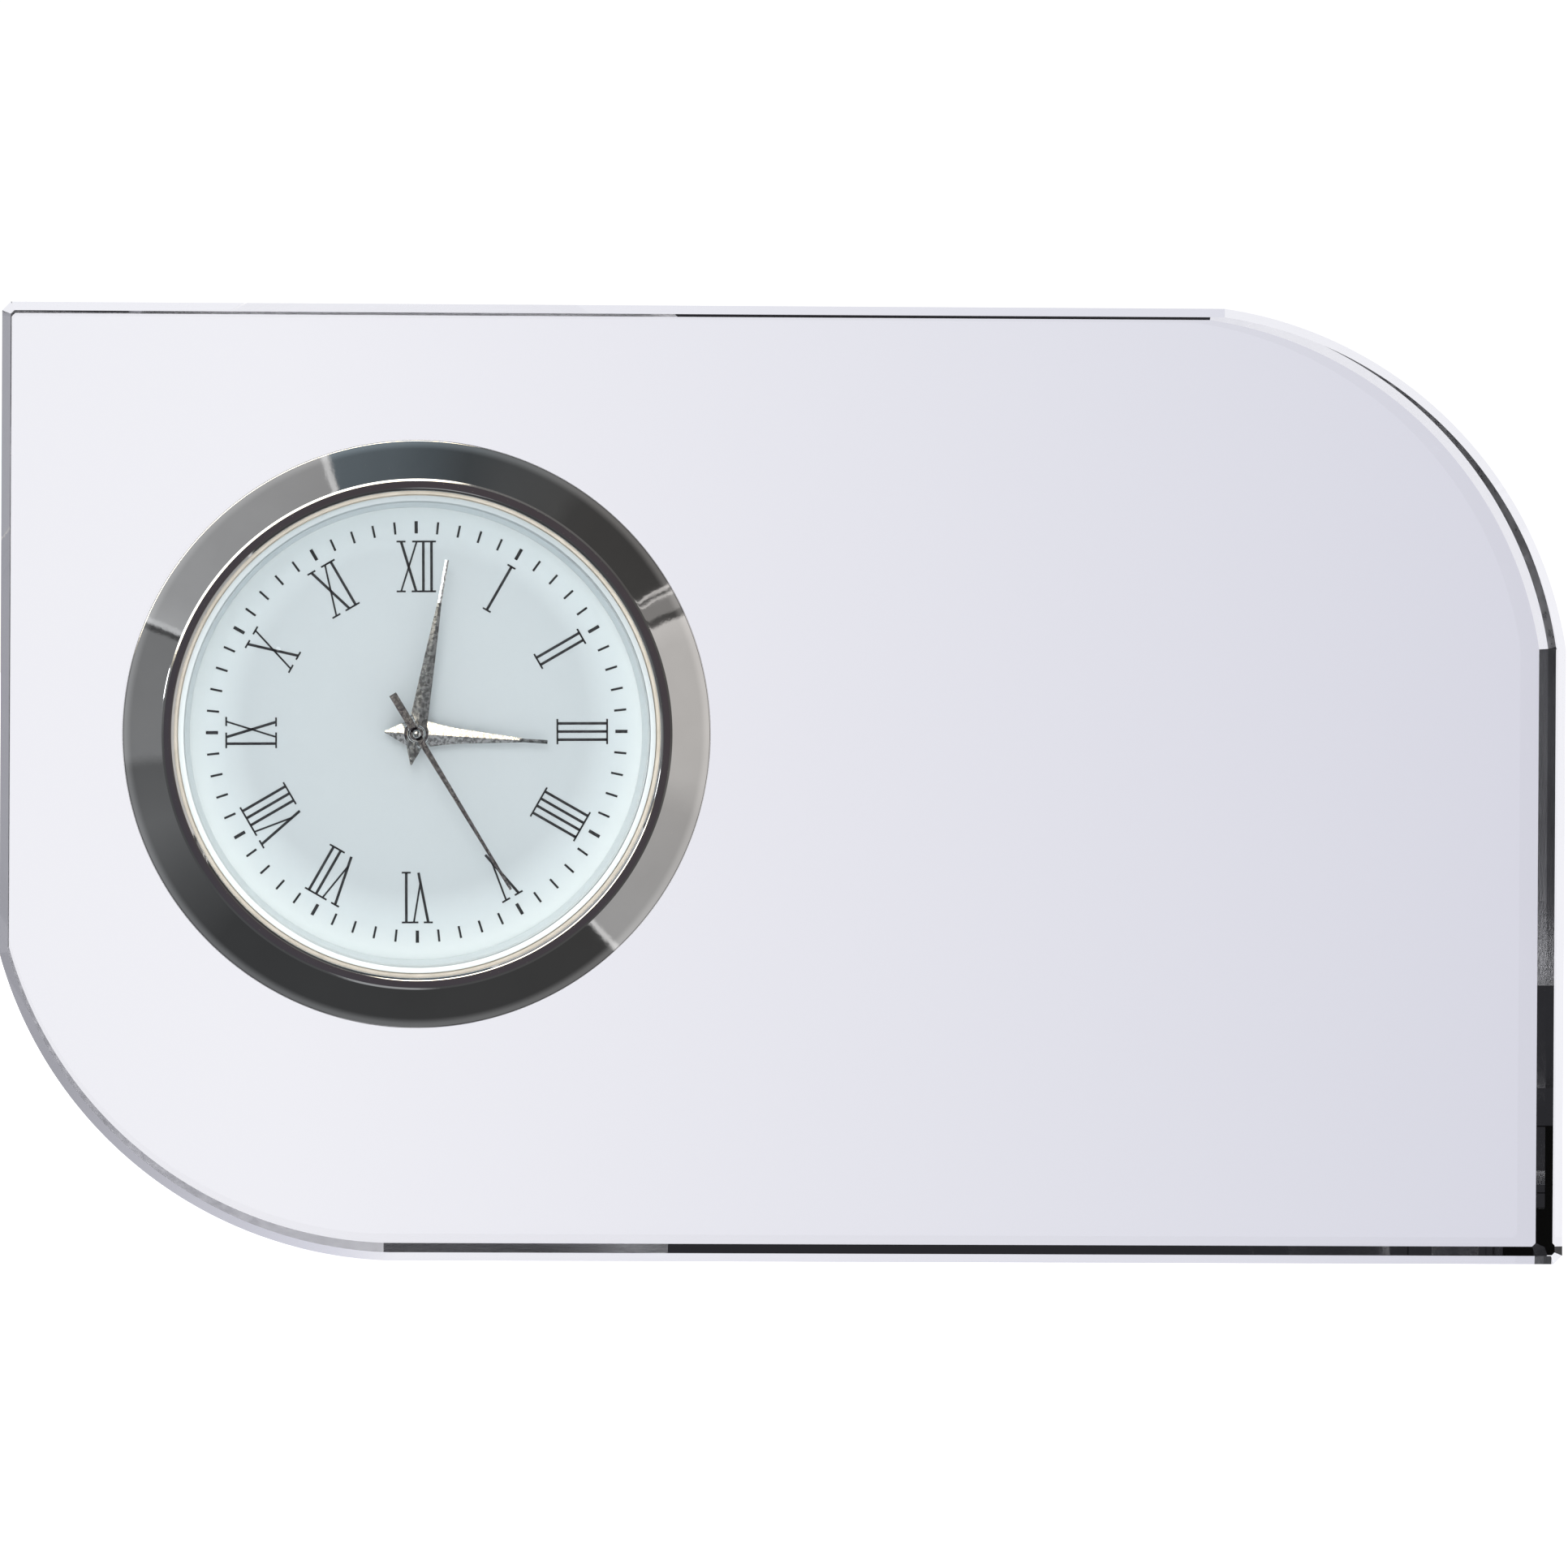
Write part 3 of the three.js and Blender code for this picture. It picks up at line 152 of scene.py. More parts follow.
def outward(points, faces):
    """Faces turned outwards: signed tetrahedra from the origin add up to a positive volume."""
    fan = np.array([[face[0], face[n], face[n + 1]] for face in faces for n in range(1, len(face) - 1)])
    a, b, c = points[fan[:, 0]], points[fan[:, 1]], points[fan[:, 2]]
    volume = np.einsum("ij,ij->i", a, np.cross(b, c)).sum() / 6
    return faces if volume > 0 else [face[::-1] for face in faces]


def solid(loops, closed=True):
    """One closed shell from a stack of loops, welded and facing outwards."""
    points, faces = welded(*skinned(np.asarray(loops, float), closed))
    return points, outward(points, faces)


def together(*shells):
    """Several shells as one: each shell's faces count on from the points before it."""
    starts = np.cumsum([0] + [len(points) for points, _ in shells[:-1]])
    counted = zip(starts.tolist(), (faces for _, faces in shells))
    moved = [[corner + start for corner in face] for start, faces in counted for face in faces]
    return np.concatenate([points for points, _ in shells]), moved


def meshed(name, points, faces):
    """A mesh of faces over points that are given in millimetres."""
    mesh = bpy.data.meshes.new(name)
    mesh.from_pydata((points * MM).tolist(), [], faces)
    return mesh


def piece(name, shell, material, body, slot, *nodes, crease=20):
    """A mesh that rides on a body and stands for CAD nodes; edges over crease degrees stay crisp."""
    points, faces = shell
    mesh = meshed(name, points, faces)
    mesh.shade_smooth()
    mesh.set_sharp_from_angle(angle=math.radians(crease))
    mesh.materials.append(material)
    made = put(name, mesh)
    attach(made, body)
    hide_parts(*nodes)
    print(f"{name}: {len(points)} points, {len(faces)} faces, on {body}")
    return made


# %% [markdown]
# ## Turning on a lathe
# The bezel, lens, rings, dial and back are all lathe work. A profile of radius and depth is
# carried round the clock's axis. Blender's Screw modifier does the same, but an array keeps
# the seam closed and lets a radius change with the angle, as at the notch of the back cover.

# %% The lathe
FINE, BROKEN = 288, 0.04


def around(radius, turn, depth):
    """At turn t, points at (radius sin t, depth, radius cos t) from the clock's axis."""
    x, z = CLOCK_X + radius * np.sin(turn), CLOCK_Z + radius * np.cos(turn)
    return np.stack([x, np.broadcast_to(depth, x.shape), z], axis=-1)


def turned(profile, steps=FINE, across=0.0, up=0.0):
    """Each profile row (radius, depth) carried round the axis, or round one moved across and up."""
    radius, depth = np.asarray(profile, float).T[:, :, None]
    turn = np.linspace(0, 2 * np.pi, steps, endpoint=False)[None, :]
    return around(radius, turn, depth) + [across, 0, up]


# %% [markdown]
# ## Finishes
# Real finishes are never one number. Each material below reads Object coordinates, so its
# grain has a true size in metres, and noise moves its colour, its gloss and its surface a
# little. What is the same all over is set on the shader itself.

# %% Helpers for finishes


def finish(name, **settings):
    """A new material with a Principled shader, and plain settings on the shader's own sockets."""
    print("finish:", name)
    material = bpy.data.materials.new(name)
    material.use_nodes = True
    shader = material.node_tree.nodes["Principled BSDF"]
    for socket, value in settings.items():
        shader.inputs[socket.replace("_", " ")].default_value = value
    return material, shader


def grain(material, scale, detail=3.0, stretch=(1, 1, 1), about=(0, 0, 0)):
    """Noise over Object coordinates, moved so that about is its middle and squeezed by stretch."""
    nodes, links = material.node_tree.nodes, material.node_tree.links
    where = nodes.new("ShaderNodeTexCoord")
    mapping = nodes.new("ShaderNodeMapping")
    noise = nodes.new("ShaderNodeTexNoise")
    mapping.vector_type = "TEXTURE"
    mapping.inputs["Location"].default_value = about
    mapping.inputs["Scale"].default_value = stretch
    noise.inputs["Scale"].default_value = scale
    noise.inputs["Detail"].default_value = detail
    links.new(where.outputs["Object"], mapping.inputs["Vector"])
    links.new(mapping.outputs["Vector"], noise.inputs["Vector"])
    return noise.outputs["Fac"]


def reach(material, about):
    """Distance from an axis along Y through about: the length of the Object coordinate less its depth."""
    nodes, links = material.node_tree.nodes, material.node_tree.links
    where = nodes.new("ShaderNodeTexCoord")
    mapping = nodes.new("ShaderNodeMapping")
    length = nodes.new("ShaderNodeVectorMath")
    mapping.inputs["Location"].default_value = (-about[0], 0, -about[2])
    mapping.inputs["Scale"].default_value = (1, 0, 1)
    length.operation = "LENGTH"
    links.new(where.outputs["Object"], mapping.inputs["Vector"])
    links.new(mapping.outputs["Vector"], length.inputs[0])
    return length.outputs["Value"]


def rings(material, scale, about, detail):
    """Noise of the distance from the clock's axis alone, so that it runs in circles as turning marks do."""
    nodes, links = material.node_tree.nodes, material.node_tree.links
    noise = nodes.new("ShaderNodeTexNoise")
    noise.noise_dimensions = "1D"
    noise.inputs["Scale"].default_value = scale
    noise.inputs["Detail"].default_value = detail
    links.new(reach(material, about), noise.inputs["W"])
    return noise.outputs["Fac"]


def spread(material, factor, low, high, source=(0.3, 0.7)):
    """A number that runs from low to high as the factor runs over source."""
    span = material.node_tree.nodes.new("ShaderNodeMapRange")
    for socket, value in zip(("From Min", "From Max", "To Min", "To Max"), (*source, low, high)):
        span.inputs[socket].default_value = value
    material.node_tree.links.new(factor, span.inputs["Value"])
    return span.outputs["Result"]


def shades(material, factor, *stops):
    """A colour that runs through stops of (place, colour) as the factor rises."""
    ramp = material.node_tree.nodes.new("ShaderNodeValToRGB")
    knots = ramp.color_ramp.elements
    while len(knots) < len(stops):
        knots.new(0.5)
    for knot, (place, colour) in zip(knots, stops):
        knot.position = place
        knot.color = (*colour, 1)
    material.node_tree.links.new(factor, ramp.inputs["Fac"])
    return ramp.outputs["Color"]


def feed(material, shader, colour=None, gloss=None, relief=None, depth=0.0):
    """Links a colour, a roughness and a bump of that depth in metres to the shader."""
    links = material.node_tree.links
    if colour is not None:
        links.new(colour, shader.inputs["Base Color"])
    if gloss is not None:
        links.new(gloss, shader.inputs["Roughness"])
    if relief is not None:
        bump = material.node_tree.nodes.new("ShaderNodeBump")
        bump.inputs["Distance"].default_value = depth
        links.new(relief, bump.inputs["Height"])
        links.new(bump.outputs["Normal"], shader.inputs["Normal"])
    return material


def mottled(name, dark, light, noise, gloss, skin=None, depth=0.0, ends=(0.3, 0.7), **settings):
    """A finish whose colour runs from dark to light, and its gloss over a span, as one noise rises.

    A second noise, the skin, or else the first one lifts the surface by the depth.
    """
    material, shader = finish(name, **settings)
    cloud = grain(material, **noise)
    colour = shades(material, cloud, (ends[0], dark), (ends[1], light))
    relief = grain(material, **skin) if skin else cloud
    return feed(material, shader, colour, spread(material, cloud, *gloss), relief if depth else None, depth)


AXIS = (CLOCK_X * MM, 0.0, CLOCK_Z * MM)


def with_painted_shade(name, high, low, noise, gloss, specular):
    """Painted shade: a colour that runs from the high colour to the low one; a fine noise moves gloss and
    surface.

    It runs over the distance from a point 3 mm above the axis, from 12 to 18 mm, so a ring round the axis is
    painted darker at the top and lighter low down.
    """
    material, shader = finish(name, Specular_IOR_Level=specular)
    painted_shade_share = spread(material, reach(material, (AXIS[0], 0, AXIS[2] + 0.003)), 0, 1, (0.012, 0.018))
    fine = grain(material, **noise)
    colour = shades(material, painted_shade_share, (0.1, high), (0.9, low))
    return feed(material, shader, colour, spread(material, fine, *gloss), fine, 0.000004)


# %% [markdown]
# ## Glass
# Optical glass has a refractive index near 1.52, and light is bent or thrown back at every
# bevel, so the bands along the edges come from the shape itself. The faces are polished. The
# bore is only ground, because the clock head hides it, and looks dull from the side. The
# bevels behind the two arcs are dulled too, satin below and frosted above: they look pale
# where polished ones would look dark. The lens is a thin flat pane, which bends nothing: it
# lets the light by and mirrors a little.

# %% Glass finishes


def clear_glass(name, tint, index, noise, gloss, depth=0.0):
    """Glass of one tint and refractive index: noise moves its gloss and, given a depth, its surface."""
    material, shader = finish(name, Base_Color=(*tint, 1), Transmission_Weight=1.0, IOR=index)
    marks = grain(material, **noise)
    relief = marks if depth else None
    return feed(material, shader, gloss=spread(material, marks, *gloss), relief=relief, depth=depth)


haze, scratches = {"scale": 140, "detail": 2}, {"scale": 900, "detail": 4, "stretch": (1, 0.08, 1)}
polished_glass = clear_glass("polished_glass", (0.945, 0.945, 0.972), 1.52, haze, (0.0, 0.012, (0.45, 0.8)))
ground_glass = clear_glass("ground_glass", (0.93, 0.935, 0.95), 1.2, scratches, (0.38, 0.6), 0.00004)
satin_glass = clear_glass("satin_glass", (0.95, 0.95, 0.97), 1.45, {"scale": 1800}, (0.45, 0.62))
frosted_glass = clear_glass("frosted_glass", (0.88, 0.88, 0.91), 1.2, {"scale": 1500}, (0.25, 0.38))

lens_pane, shader = finish("lens_pane", Base_Color=(0.96, 0.98, 0.98, 1), Metallic=1.0, Alpha=0.07)
haze = grain(lens_pane, 200, detail=2)
feed(lens_pane, shader, gloss=spread(lens_pane, haze, 0.0, 0.02, (0.45, 0.8)))

grit = {"scale": 2500}
# The lens's ground edge carries painted shade: darker at the top, lighter low down.
ground_rim = with_painted_shade("ground_rim", (0.50, 0.56, 0.575), (0.86, 0.92, 0.915), grit, (0.25, 0.45), 0.5)

# %% [markdown]
# ## The glass block
# The block is a flat slab whose upper right and lower left corners are cut to large arcs. The
# arcs meet the straight edges at a slight angle, not tangentially, and the two square corners
# carry a small cut as wide as the bevels. Walking once round the outline and once round the
# bore at the same bearings gives loops of equal length, and eight such loops make the whole
# block with its bevels.

# %% The outline of the block
EDGE_BEVEL = 0.55
BORE_RADIUS = 17.5
BORE_BEVEL = 0.4
UPPER_CUT = (22.0, 21.7, 25.9)
LOWER_CUT = (24.8, 19.5, 26.6)


def straight(start, end, step=math.radians(1.25)):
    """Points from start up to, but not at, end, at equal bearings from the clock's axis."""
    start, end = np.array(start), np.array(end)
    axis = np.array([CLOCK_X, CLOCK_Z])
    first, last = (math.atan2(*(corner - axis)[::-1]) for corner in (start, end))
    turn = (last - first) % (2 * np.pi)
    count = max(2, math.ceil(turn / step))
    bearing = first + turn * np.arange(count) / count
    ray = np.stack([np.cos(bearing), np.sin(bearing)], axis=1)
    along = end - start
    normal = np.array([-along[1], along[0]])
    return axis + ray * ((start - axis) @ normal / (ray @ normal))[:, None]


def rounded(start, end, radius, count=72):
    """Points of a circle's arc from start up to, but not at, end, bulging to the right of the way."""
    start, end = np.array(start), np.array(end)
    chord = end - start
    length = np.linalg.norm(chord)
    inward = np.array([-chord[1], chord[0]]) / length
    centre = (start + end) / 2 + inward * math.sqrt(radius**2 - length**2 / 4)
    first, last = (math.atan2(*(corner - centre)[::-1]) for corner in (start, end))
    angle = first + ((last - first) % (2 * np.pi)) * np.arange(count) / count
    return centre + radius * np.stack([np.cos(angle), np.sin(angle)], axis=1)


def inset(outline, margin):
    """Each corner moves inwards along the bisector of its two edges until both edges have moved by margin."""
    along = np.roll(outline, -1, axis=0) - outline
    inward = np.stack([-along[:, 1], along[:, 0]], axis=1) / np.linalg.norm(along, axis=1)[:, None]
    before = np.roll(inward, 1, axis=0)
    share = 1 + (inward * before).sum(axis=1, keepdims=True)
    return outline + margin * (inward + before) / share


left, right, top = block_low[0], block_high[0], block_high[2]
upper = [(right, top - UPPER_CUT[1]), (right - UPPER_CUT[0], top)]
lower = [(left, LOWER_CUT[1]), (left + LOWER_CUT[0], 0.0)]
lower_right = [lower[1], (right - EDGE_BEVEL, 0.0), (right, EDGE_BEVEL), upper[0]]
upper_left = [upper[1], (left + EDGE_BEVEL, top), (left, top - EDGE_BEVEL), lower[0]]
outline = np.concatenate([
    *map(straight, lower_right, lower_right[1:]), rounded(*upper, UPPER_CUT[2]),
    *map(straight, upper_left, upper_left[1:]), rounded(*lower, LOWER_CUT[2]),
])
print("block outline:", len(outline), "points,", np.ptp(outline, axis=0).round(2), "mm")

# %% The block
outline_turn = np.arctan2(outline[:, 0] - CLOCK_X, outline[:, 1] - CLOCK_Z)


def at_depth(flat, depth):
    """A flat loop of (x, z) rows set at one depth."""
    return np.stack([flat[:, 0], np.full(len(flat), depth), flat[:, 1]], axis=1)


def bore_loop(radius, depth):
    """A circle about the clock's axis, with a point at the bearing of each outline point."""
    return around(radius, outline_turn, depth)


face = inset(outline, EDGE_BEVEL)
block = solid([
    bore_loop(BORE_RADIUS + BORE_BEVEL, GLASS_FRONT),
    at_depth(face, GLASS_FRONT),
    at_depth(outline, GLASS_FRONT + EDGE_BEVEL),
    at_depth(outline, GLASS_BACK - EDGE_BEVEL),
    at_depth(face, GLASS_BACK),
    bore_loop(BORE_RADIUS + BORE_BEVEL, GLASS_BACK),
    bore_loop(BORE_RADIUS, GLASS_BACK - BORE_BEVEL),
    bore_loop(BORE_RADIUS, GLASS_FRONT + BORE_BEVEL),
])
glass = piece("cut_glass_block", block, polished_glass, "glass_stand", "clear_glass", "glass_block", crease=4)
for dulled in (ground_glass, satin_glass, frosted_glass):
    glass.data.materials.append(dulled)
middles = np.zeros(len(glass.data.polygons) * 3)
glass.data.polygons.foreach_get("center", middles)
x, y, z = middles.reshape(-1, 3).T / MM
in_bore = np.hypot(x - CLOCK_X, z - CLOCK_Z) < BORE_RADIUS + BORE_BEVEL
behind = np.abs(y - GLASS_BACK + EDGE_BEVEL / 2) < EDGE_BEVEL / 4
low_arc = behind & (x < lower[1][0]) & (z < lower[0][1])
high_arc = behind & (x > upper[1][0]) & (z > upper[0][1])
which = np.select([in_bore, low_arc, high_arc], [1, 2, 3], 0).astype(np.int32)
glass.data.polygons.foreach_set("material_index", which)
print("polished, ground, satin and frosted faces:", np.bincount(which))

# %% [markdown]
# ## Chrome
# The bezel is brass under bright chrome. Chrome has almost no colour of its own: what gives
# it shape are the light and dark panels of the studio in it. A trace of unevenness in the
# gloss keeps the streaks from looking drawn.

# %% Chrome finish
bright_chrome = mottled(
    "bright_chrome", (0.79, 0.78, 0.775), (0.83, 0.82, 0.815), {"scale": 260, "detail": 4}, (0.025, 0.06),
    {"scale": 2600, "detail": 2}, 0.0000008, ends=(0.35, 0.65), Metallic=1.0,
)

# %% [markdown]
# ## The bezel
# The bezel is a ring with a broad polished slope that rises from the glass, and a narrow flat
# lip with eased edges that frames the lens. The slope swells a little above a straight cone.
# Behind it a skirt reaches into the bore.

# %% The bezel
BEZEL_RADIUS, BEZEL_RISE = 18.75, 2.0
CREST = GLASS_FRONT - BEZEL_RISE
SEAT = 0.05
RIM_WALL, RIM_ROUND, RIM_TALL = 0.36, 0.09, 0.16
SLOPE_START, SLOPE_SWELL = 0.5, 0.24
LIP_START, LIP_FLAT, LIP_EDGE, LIP_END = 16.42, 16.08, 15.72, 15.48
LIP_GRADE, LIP_INNER_GRADE, LIP_BACK = 0.6, 0.9, -11.5
GASKET_WALL, LEDGE_RADIUS = 15.85, 15.0
LEDGE_FRONT, LEDGE_BACK = -10.3, -9.8
SKIRT_INNER, SKIRT_OUTER, SKIRT_END = 16.3, 16.95, -8.2


def bezel_slope(share):
    """Radius falls and height rises evenly with share, plus a swell of sin(pi share)(1 - share)."""
    crest_rise = LIP_GRADE * (LIP_START - LIP_FLAT) / 2
    swell = SLOPE_SWELL * np.sin(np.pi * share) * (1 - share)
    rise = SLOPE_START + (BEZEL_RISE - crest_rise - SLOPE_START) * share + swell
    return np.stack([BEZEL_RADIUS - (BEZEL_RADIUS - LIP_START) * share, GLASS_FRONT - rise], axis=1)


def eased(start, end, grade, count=11):
    """An edge, level at start, that falls by grade times distance squared over twice the run."""
    run = np.linspace(0, abs(end - start), count)
    radius = start + np.sign(end - start) * run
    return np.stack([radius, CREST + grade * run**2 / (2 * abs(end - start))], axis=1)


rim = np.linspace(0, np.pi / 2, 7)[:, None]
rim = np.hstack([
    BEZEL_RADIUS - RIM_ROUND + RIM_ROUND * np.cos(rim),
    GLASS_FRONT - RIM_WALL - RIM_TALL * np.sin(rim),
])
bezel_profile = np.concatenate([
    [[BEZEL_RADIUS, GLASS_FRONT - SEAT]],
    rim,
    bezel_slope(np.linspace(0.045, 0.97, 28)),
    eased(LIP_FLAT, LIP_START, LIP_GRADE)[::-1],
    eased(LIP_EDGE, LIP_END + BROKEN, LIP_INNER_GRADE),
    [[LIP_END, CREST + 0.2], [LIP_END, LIP_BACK], [GASKET_WALL, LIP_BACK]],
    [[GASKET_WALL, LEDGE_FRONT], [LEDGE_RADIUS, LEDGE_FRONT], [LEDGE_RADIUS, LEDGE_BACK]],
    [[SKIRT_INNER, LEDGE_BACK], [SKIRT_INNER, SKIRT_END], [SKIRT_OUTER, SKIRT_END]],
    [[SKIRT_OUTER, GLASS_FRONT - SEAT]],
])
piece("turned_bezel", solid(turned(bezel_profile)), bright_chrome, "insert", "polished_chrome", "bezel")

# %% [markdown]
# ## Lens, gasket and spacer
# Inside the bezel lie three thin rings: a cream rubber gasket that grips the lens, the bevel
# of the lens itself, and a pale spacer that slopes down to the dial. Together they make the
# fine light and tan lines round the dial.

# %% Rubber and plastic finishes
cream_rubber = mottled(
    "cream_rubber", (0.62, 0.57, 0.48), (0.74, 0.69, 0.60), {"scale": 700}, (0.35, 0.55),
    depth=0.00001, Specular_IOR_Level=0.45,
)
smooth_skin = {"scale": 6000, "detail": 1}
pale_plastic = mottled(
    "pale_plastic", (0.72, 0.78, 0.78), (0.80, 0.85, 0.85), {"scale": 500}, (0.3, 0.45),
    smooth_skin, 0.000004, Specular_IOR_Level=0.5,
)
# The spacer's paint carries painted shade: darker at the top, lighter low down.
ring_paint_and_shade = with_painted_shade("ring_paint_and_shade", (0.48, 0.55, 0.575), (0.80, 0.87, 0.87), smooth_skin, (0.3, 0.45), 0.4)

# %% The lens and its rings
LENS_FRONT, LENS_BACK, LENS_RADIUS, LENS_FLAT = -11.65, -10.55, 15.2, 14.86
DIAL_FRONT, DIAL_BACK, DIAL_RADIUS = -8.05, -7.65, 14.92
lens_profile = [
    (0, LENS_BACK), (LENS_RADIUS, LENS_BACK), (LENS_RADIUS, LENS_FRONT + 0.2),
    (LENS_FLAT, LENS_FRONT), (0, LENS_FRONT),
]
lens = piece("flat_lens", solid(turned(lens_profile)), lens_pane, "insert", "lens_glass", "lens")
lens.data.materials.append(ground_rim)
facing = np.zeros(len(lens.data.polygons) * 3)
lens.data.polygons.foreach_get("normal", facing)
edge_face = np.abs(facing.reshape(-1, 3)[:, 1]) < 0.95
lens.data.polygons.foreach_set("material_index", edge_face.astype(np.int32))

gasket_profile = [
    (15.25, -11.32), (15.32, -11.4), (15.72, -11.4), (15.8, -11.32), (15.8, -10.35),
    (15.0, -10.35), (15.0, -10.5), (15.25, -10.5),
]
piece("lens_grip", solid(turned(gasket_profile)), cream_rubber, "insert", "clear_rubber", "lens_gasket")

RING_INNER, RING_FLARE, RING_OUTER = 14.45, 0.3, 14.92
RING_FRONT, RING_BACK = -9.75, -8.1
slope = np.linspace(0, 1, 9)[:, None]
inner_face = np.hstack([RING_INNER + RING_FLARE * slope**1.4, RING_BACK + (RING_FRONT - RING_BACK) * slope])
outer_face = [(RING_OUTER - BROKEN, RING_FRONT), (RING_OUTER, RING_FRONT + BROKEN), (RING_OUTER, RING_BACK)]
spacer_profile = np.concatenate([inner_face, outer_face])
piece("dial_ring", solid(turned(spacer_profile)), ring_paint_and_shade, "insert", "white_plastic", "dial_spacer")

# %% [markdown]
# ## The dial
# The dial is a thin disc sprayed in a cool satin white. Its colour is painted a shade deeper over
# most of its face and lighter towards the rim, most of all low down: painted light that stands
# for the light the pale ring throws on it. Two feet behind it sit in the movement's plate.

# %% Dial paint
dial_paint, shader = finish("dial_paint", Specular_IOR_Level=0.3)
# Painted light: the colour lightens towards the rim, measured from a point 0.8 mm above the axis, so most of
# all low down.
painted_rim_light = reach(dial_paint, (AXIS[0], 0, AXIS[2] + 0.0008))
cloud = grain(dial_paint, 350, detail=3)
fine = grain(dial_paint, 5000, detail=2)
colour = shades(
    dial_paint, spread(dial_paint, painted_rim_light, 0, 1, (0.0, 0.016)),
    (0.0, (0.503, 0.557, 0.573)), (0.68, (0.512, 0.569, 0.587)), (0.80, (0.65, 0.72, 0.735)),
    (0.84, (0.70, 0.77, 0.78)), (0.92, (0.85, 0.915, 0.91)),
)
feed(dial_paint, shader, colour, spread(dial_paint, cloud, 0.42, 0.55), fine, 0.000002)

# %% The dial disc
DIAL_HOLE = 0.7
FEET = ((3.0, 8.6), (-7.0, -8.8))
dial_profile = [
    (DIAL_HOLE, DIAL_BACK), (DIAL_RADIUS, DIAL_BACK), (DIAL_RADIUS, DIAL_FRONT + BROKEN),
    (DIAL_RADIUS - BROKEN, DIAL_FRONT), (DIAL_HOLE + 0.03, DIAL_FRONT), (DIAL_HOLE, DIAL_FRONT + 0.03),
]
foot_profile = np.array([(0, -0.1), (0.35, -0.1), (0.35, 1.3), (0.25, 1.4), (0, 1.4)]) + [0, DIAL_BACK]
feet = [solid(turned(foot_profile, 24, x, z)) for x, z in FEET]
disc = together(solid(turned(dial_profile)), *feet)
piece("painted_dial", disc, dial_paint, "insert", "dial_paint", "dial")

# %% [markdown]
# ## Numerals and minute marks
# The numerals are printed ink: upright Roman figures whose feet point to the middle, with one
# heavy and one light leg on each V and X, and fine joined serifs. Each leg is a thin bar of
# ink, so a figure is a short table of bars, and turning that table gives its place on the
# dial. The whole print sits a tenth of a millimetre high, turned back by half a degree.

# %% Printing ink
printed_ink = mottled(
    "printed_ink", (0.010, 0.012, 0.014), (0.035, 0.038, 0.042), {"scale": 3000}, (0.4, 0.6),
    Specular_IOR_Level=0.3,
)

# %% Bars of ink
HEAVY, LIGHT, HAIR = 0.17, 0.115, 0.115
HALF_TALL, SERIF = 1.59, 0.29
LETTER_HALF = {"I": 0.0, "V": 0.46, "X": 0.5}
LETTER_GAP = {"I": 0.52, "V": 0.48, "X": 0.42}
V_FOOT, V_JOIN, X_LEAN = 0.16, 0.2, 0.92
INK_SINK, INK_RISE = 0.01, 0.012
PRINT_TURN, PRINT_SHIFT = math.radians(-0.45), (0.05, 0.1)


def leg(x_foot, x_head, width):
    """One leg from the foot line to the head line, with a hair serif across each end."""
    return [
        (x_foot, -HALF_TALL, x_head, HALF_TALL, width),
        (x_foot - SERIF, -HALF_TALL, x_foot + SERIF, -HALF_TALL, HAIR),
        (x_head - SERIF, HALF_TALL, x_head + SERIF, HALF_TALL, HAIR),
    ]


def figure(letters):
    """Bars of a numeral: I is a leg, X two crossed legs, V a leg and a light one that joins it."""
    bars, x, last = [], 0.0, ""
    for letter in letters:
        half = LETTER_HALF[letter]
        if last:
            x += half + LETTER_GAP[last if last != "I" else letter]
        if letter == "I":
            bars += leg(x, x, HEAVY)
        if letter == "X":
            bars += leg(x + half * X_LEAN, x - half, HEAVY) + leg(x - half, x + half, LIGHT)
        if letter == "V":
            foot = x + V_FOOT
            joint = foot - V_JOIN * (half + V_FOOT)
            bars += leg(foot, x - half, HEAVY)[::2] + leg(foot, x + half, LIGHT)[2:]
            bars += [(joint, (2 * V_JOIN - 1) * HALF_TALL, x + half, HALF_TALL, LIGHT)]
        x, last = x + half, letter
    bars = np.array(bars)
    low, high = bars[:, [0, 2]].min(), bars[:, [0, 2]].max()
    bars[:, [0, 2]] -= (low + high) / 2
    return bars


def clockwise(across, along, turn):
    """Points turned by t: x is across cos t + along sin t, z is along cos t - across sin t."""
    cos, sin = math.cos(turn), math.sin(turn)
    return across * cos + along * sin, along * cos - across * sin


def on_dial(bars, turn, radius):
    """Bars moved out to a radius and turned clockwise."""
    placed = bars.copy()
    for x, z in ((0, 1), (2, 3)):
        placed[:, x], placed[:, z] = clockwise(bars[:, x], bars[:, z] + radius, turn + PRINT_TURN)
    return placed


def inked(bars):
    """Each bar as a thin block: half its width to either side, from inside the paint to just over it."""
    start, end, half = bars[:, 0:2], bars[:, 2:4], bars[:, 4:5] / 2
    along = (end - start) / np.linalg.norm(end - start, axis=1, keepdims=True)
    side = np.stack([-along[:, 1], along[:, 0]], axis=1) * half
    flat = np.stack([start - side, end - side, end + side, start + side], axis=1)
    flat = flat + np.array([CLOCK_X, CLOCK_Z]) + PRINT_SHIFT
    depths = (DIAL_FRONT + INK_SINK, DIAL_FRONT - INK_RISE)
    sides = [at_depth(flat.reshape(-1, 2), depth).reshape(-1, 4, 3) for depth in depths]
    points = np.concatenate(sides, axis=1).reshape(-1, 3)
    corner = np.array([[0, 1, 2, 3], [7, 6, 5, 4], [0, 4, 5, 1], [1, 5, 6, 2], [2, 6, 7, 3], [3, 7, 4, 0]])
    faces = (corner[None] + 8 * np.arange(len(bars))[:, None, None]).reshape(-1, 4).tolist()
    return points, outward(points, faces)


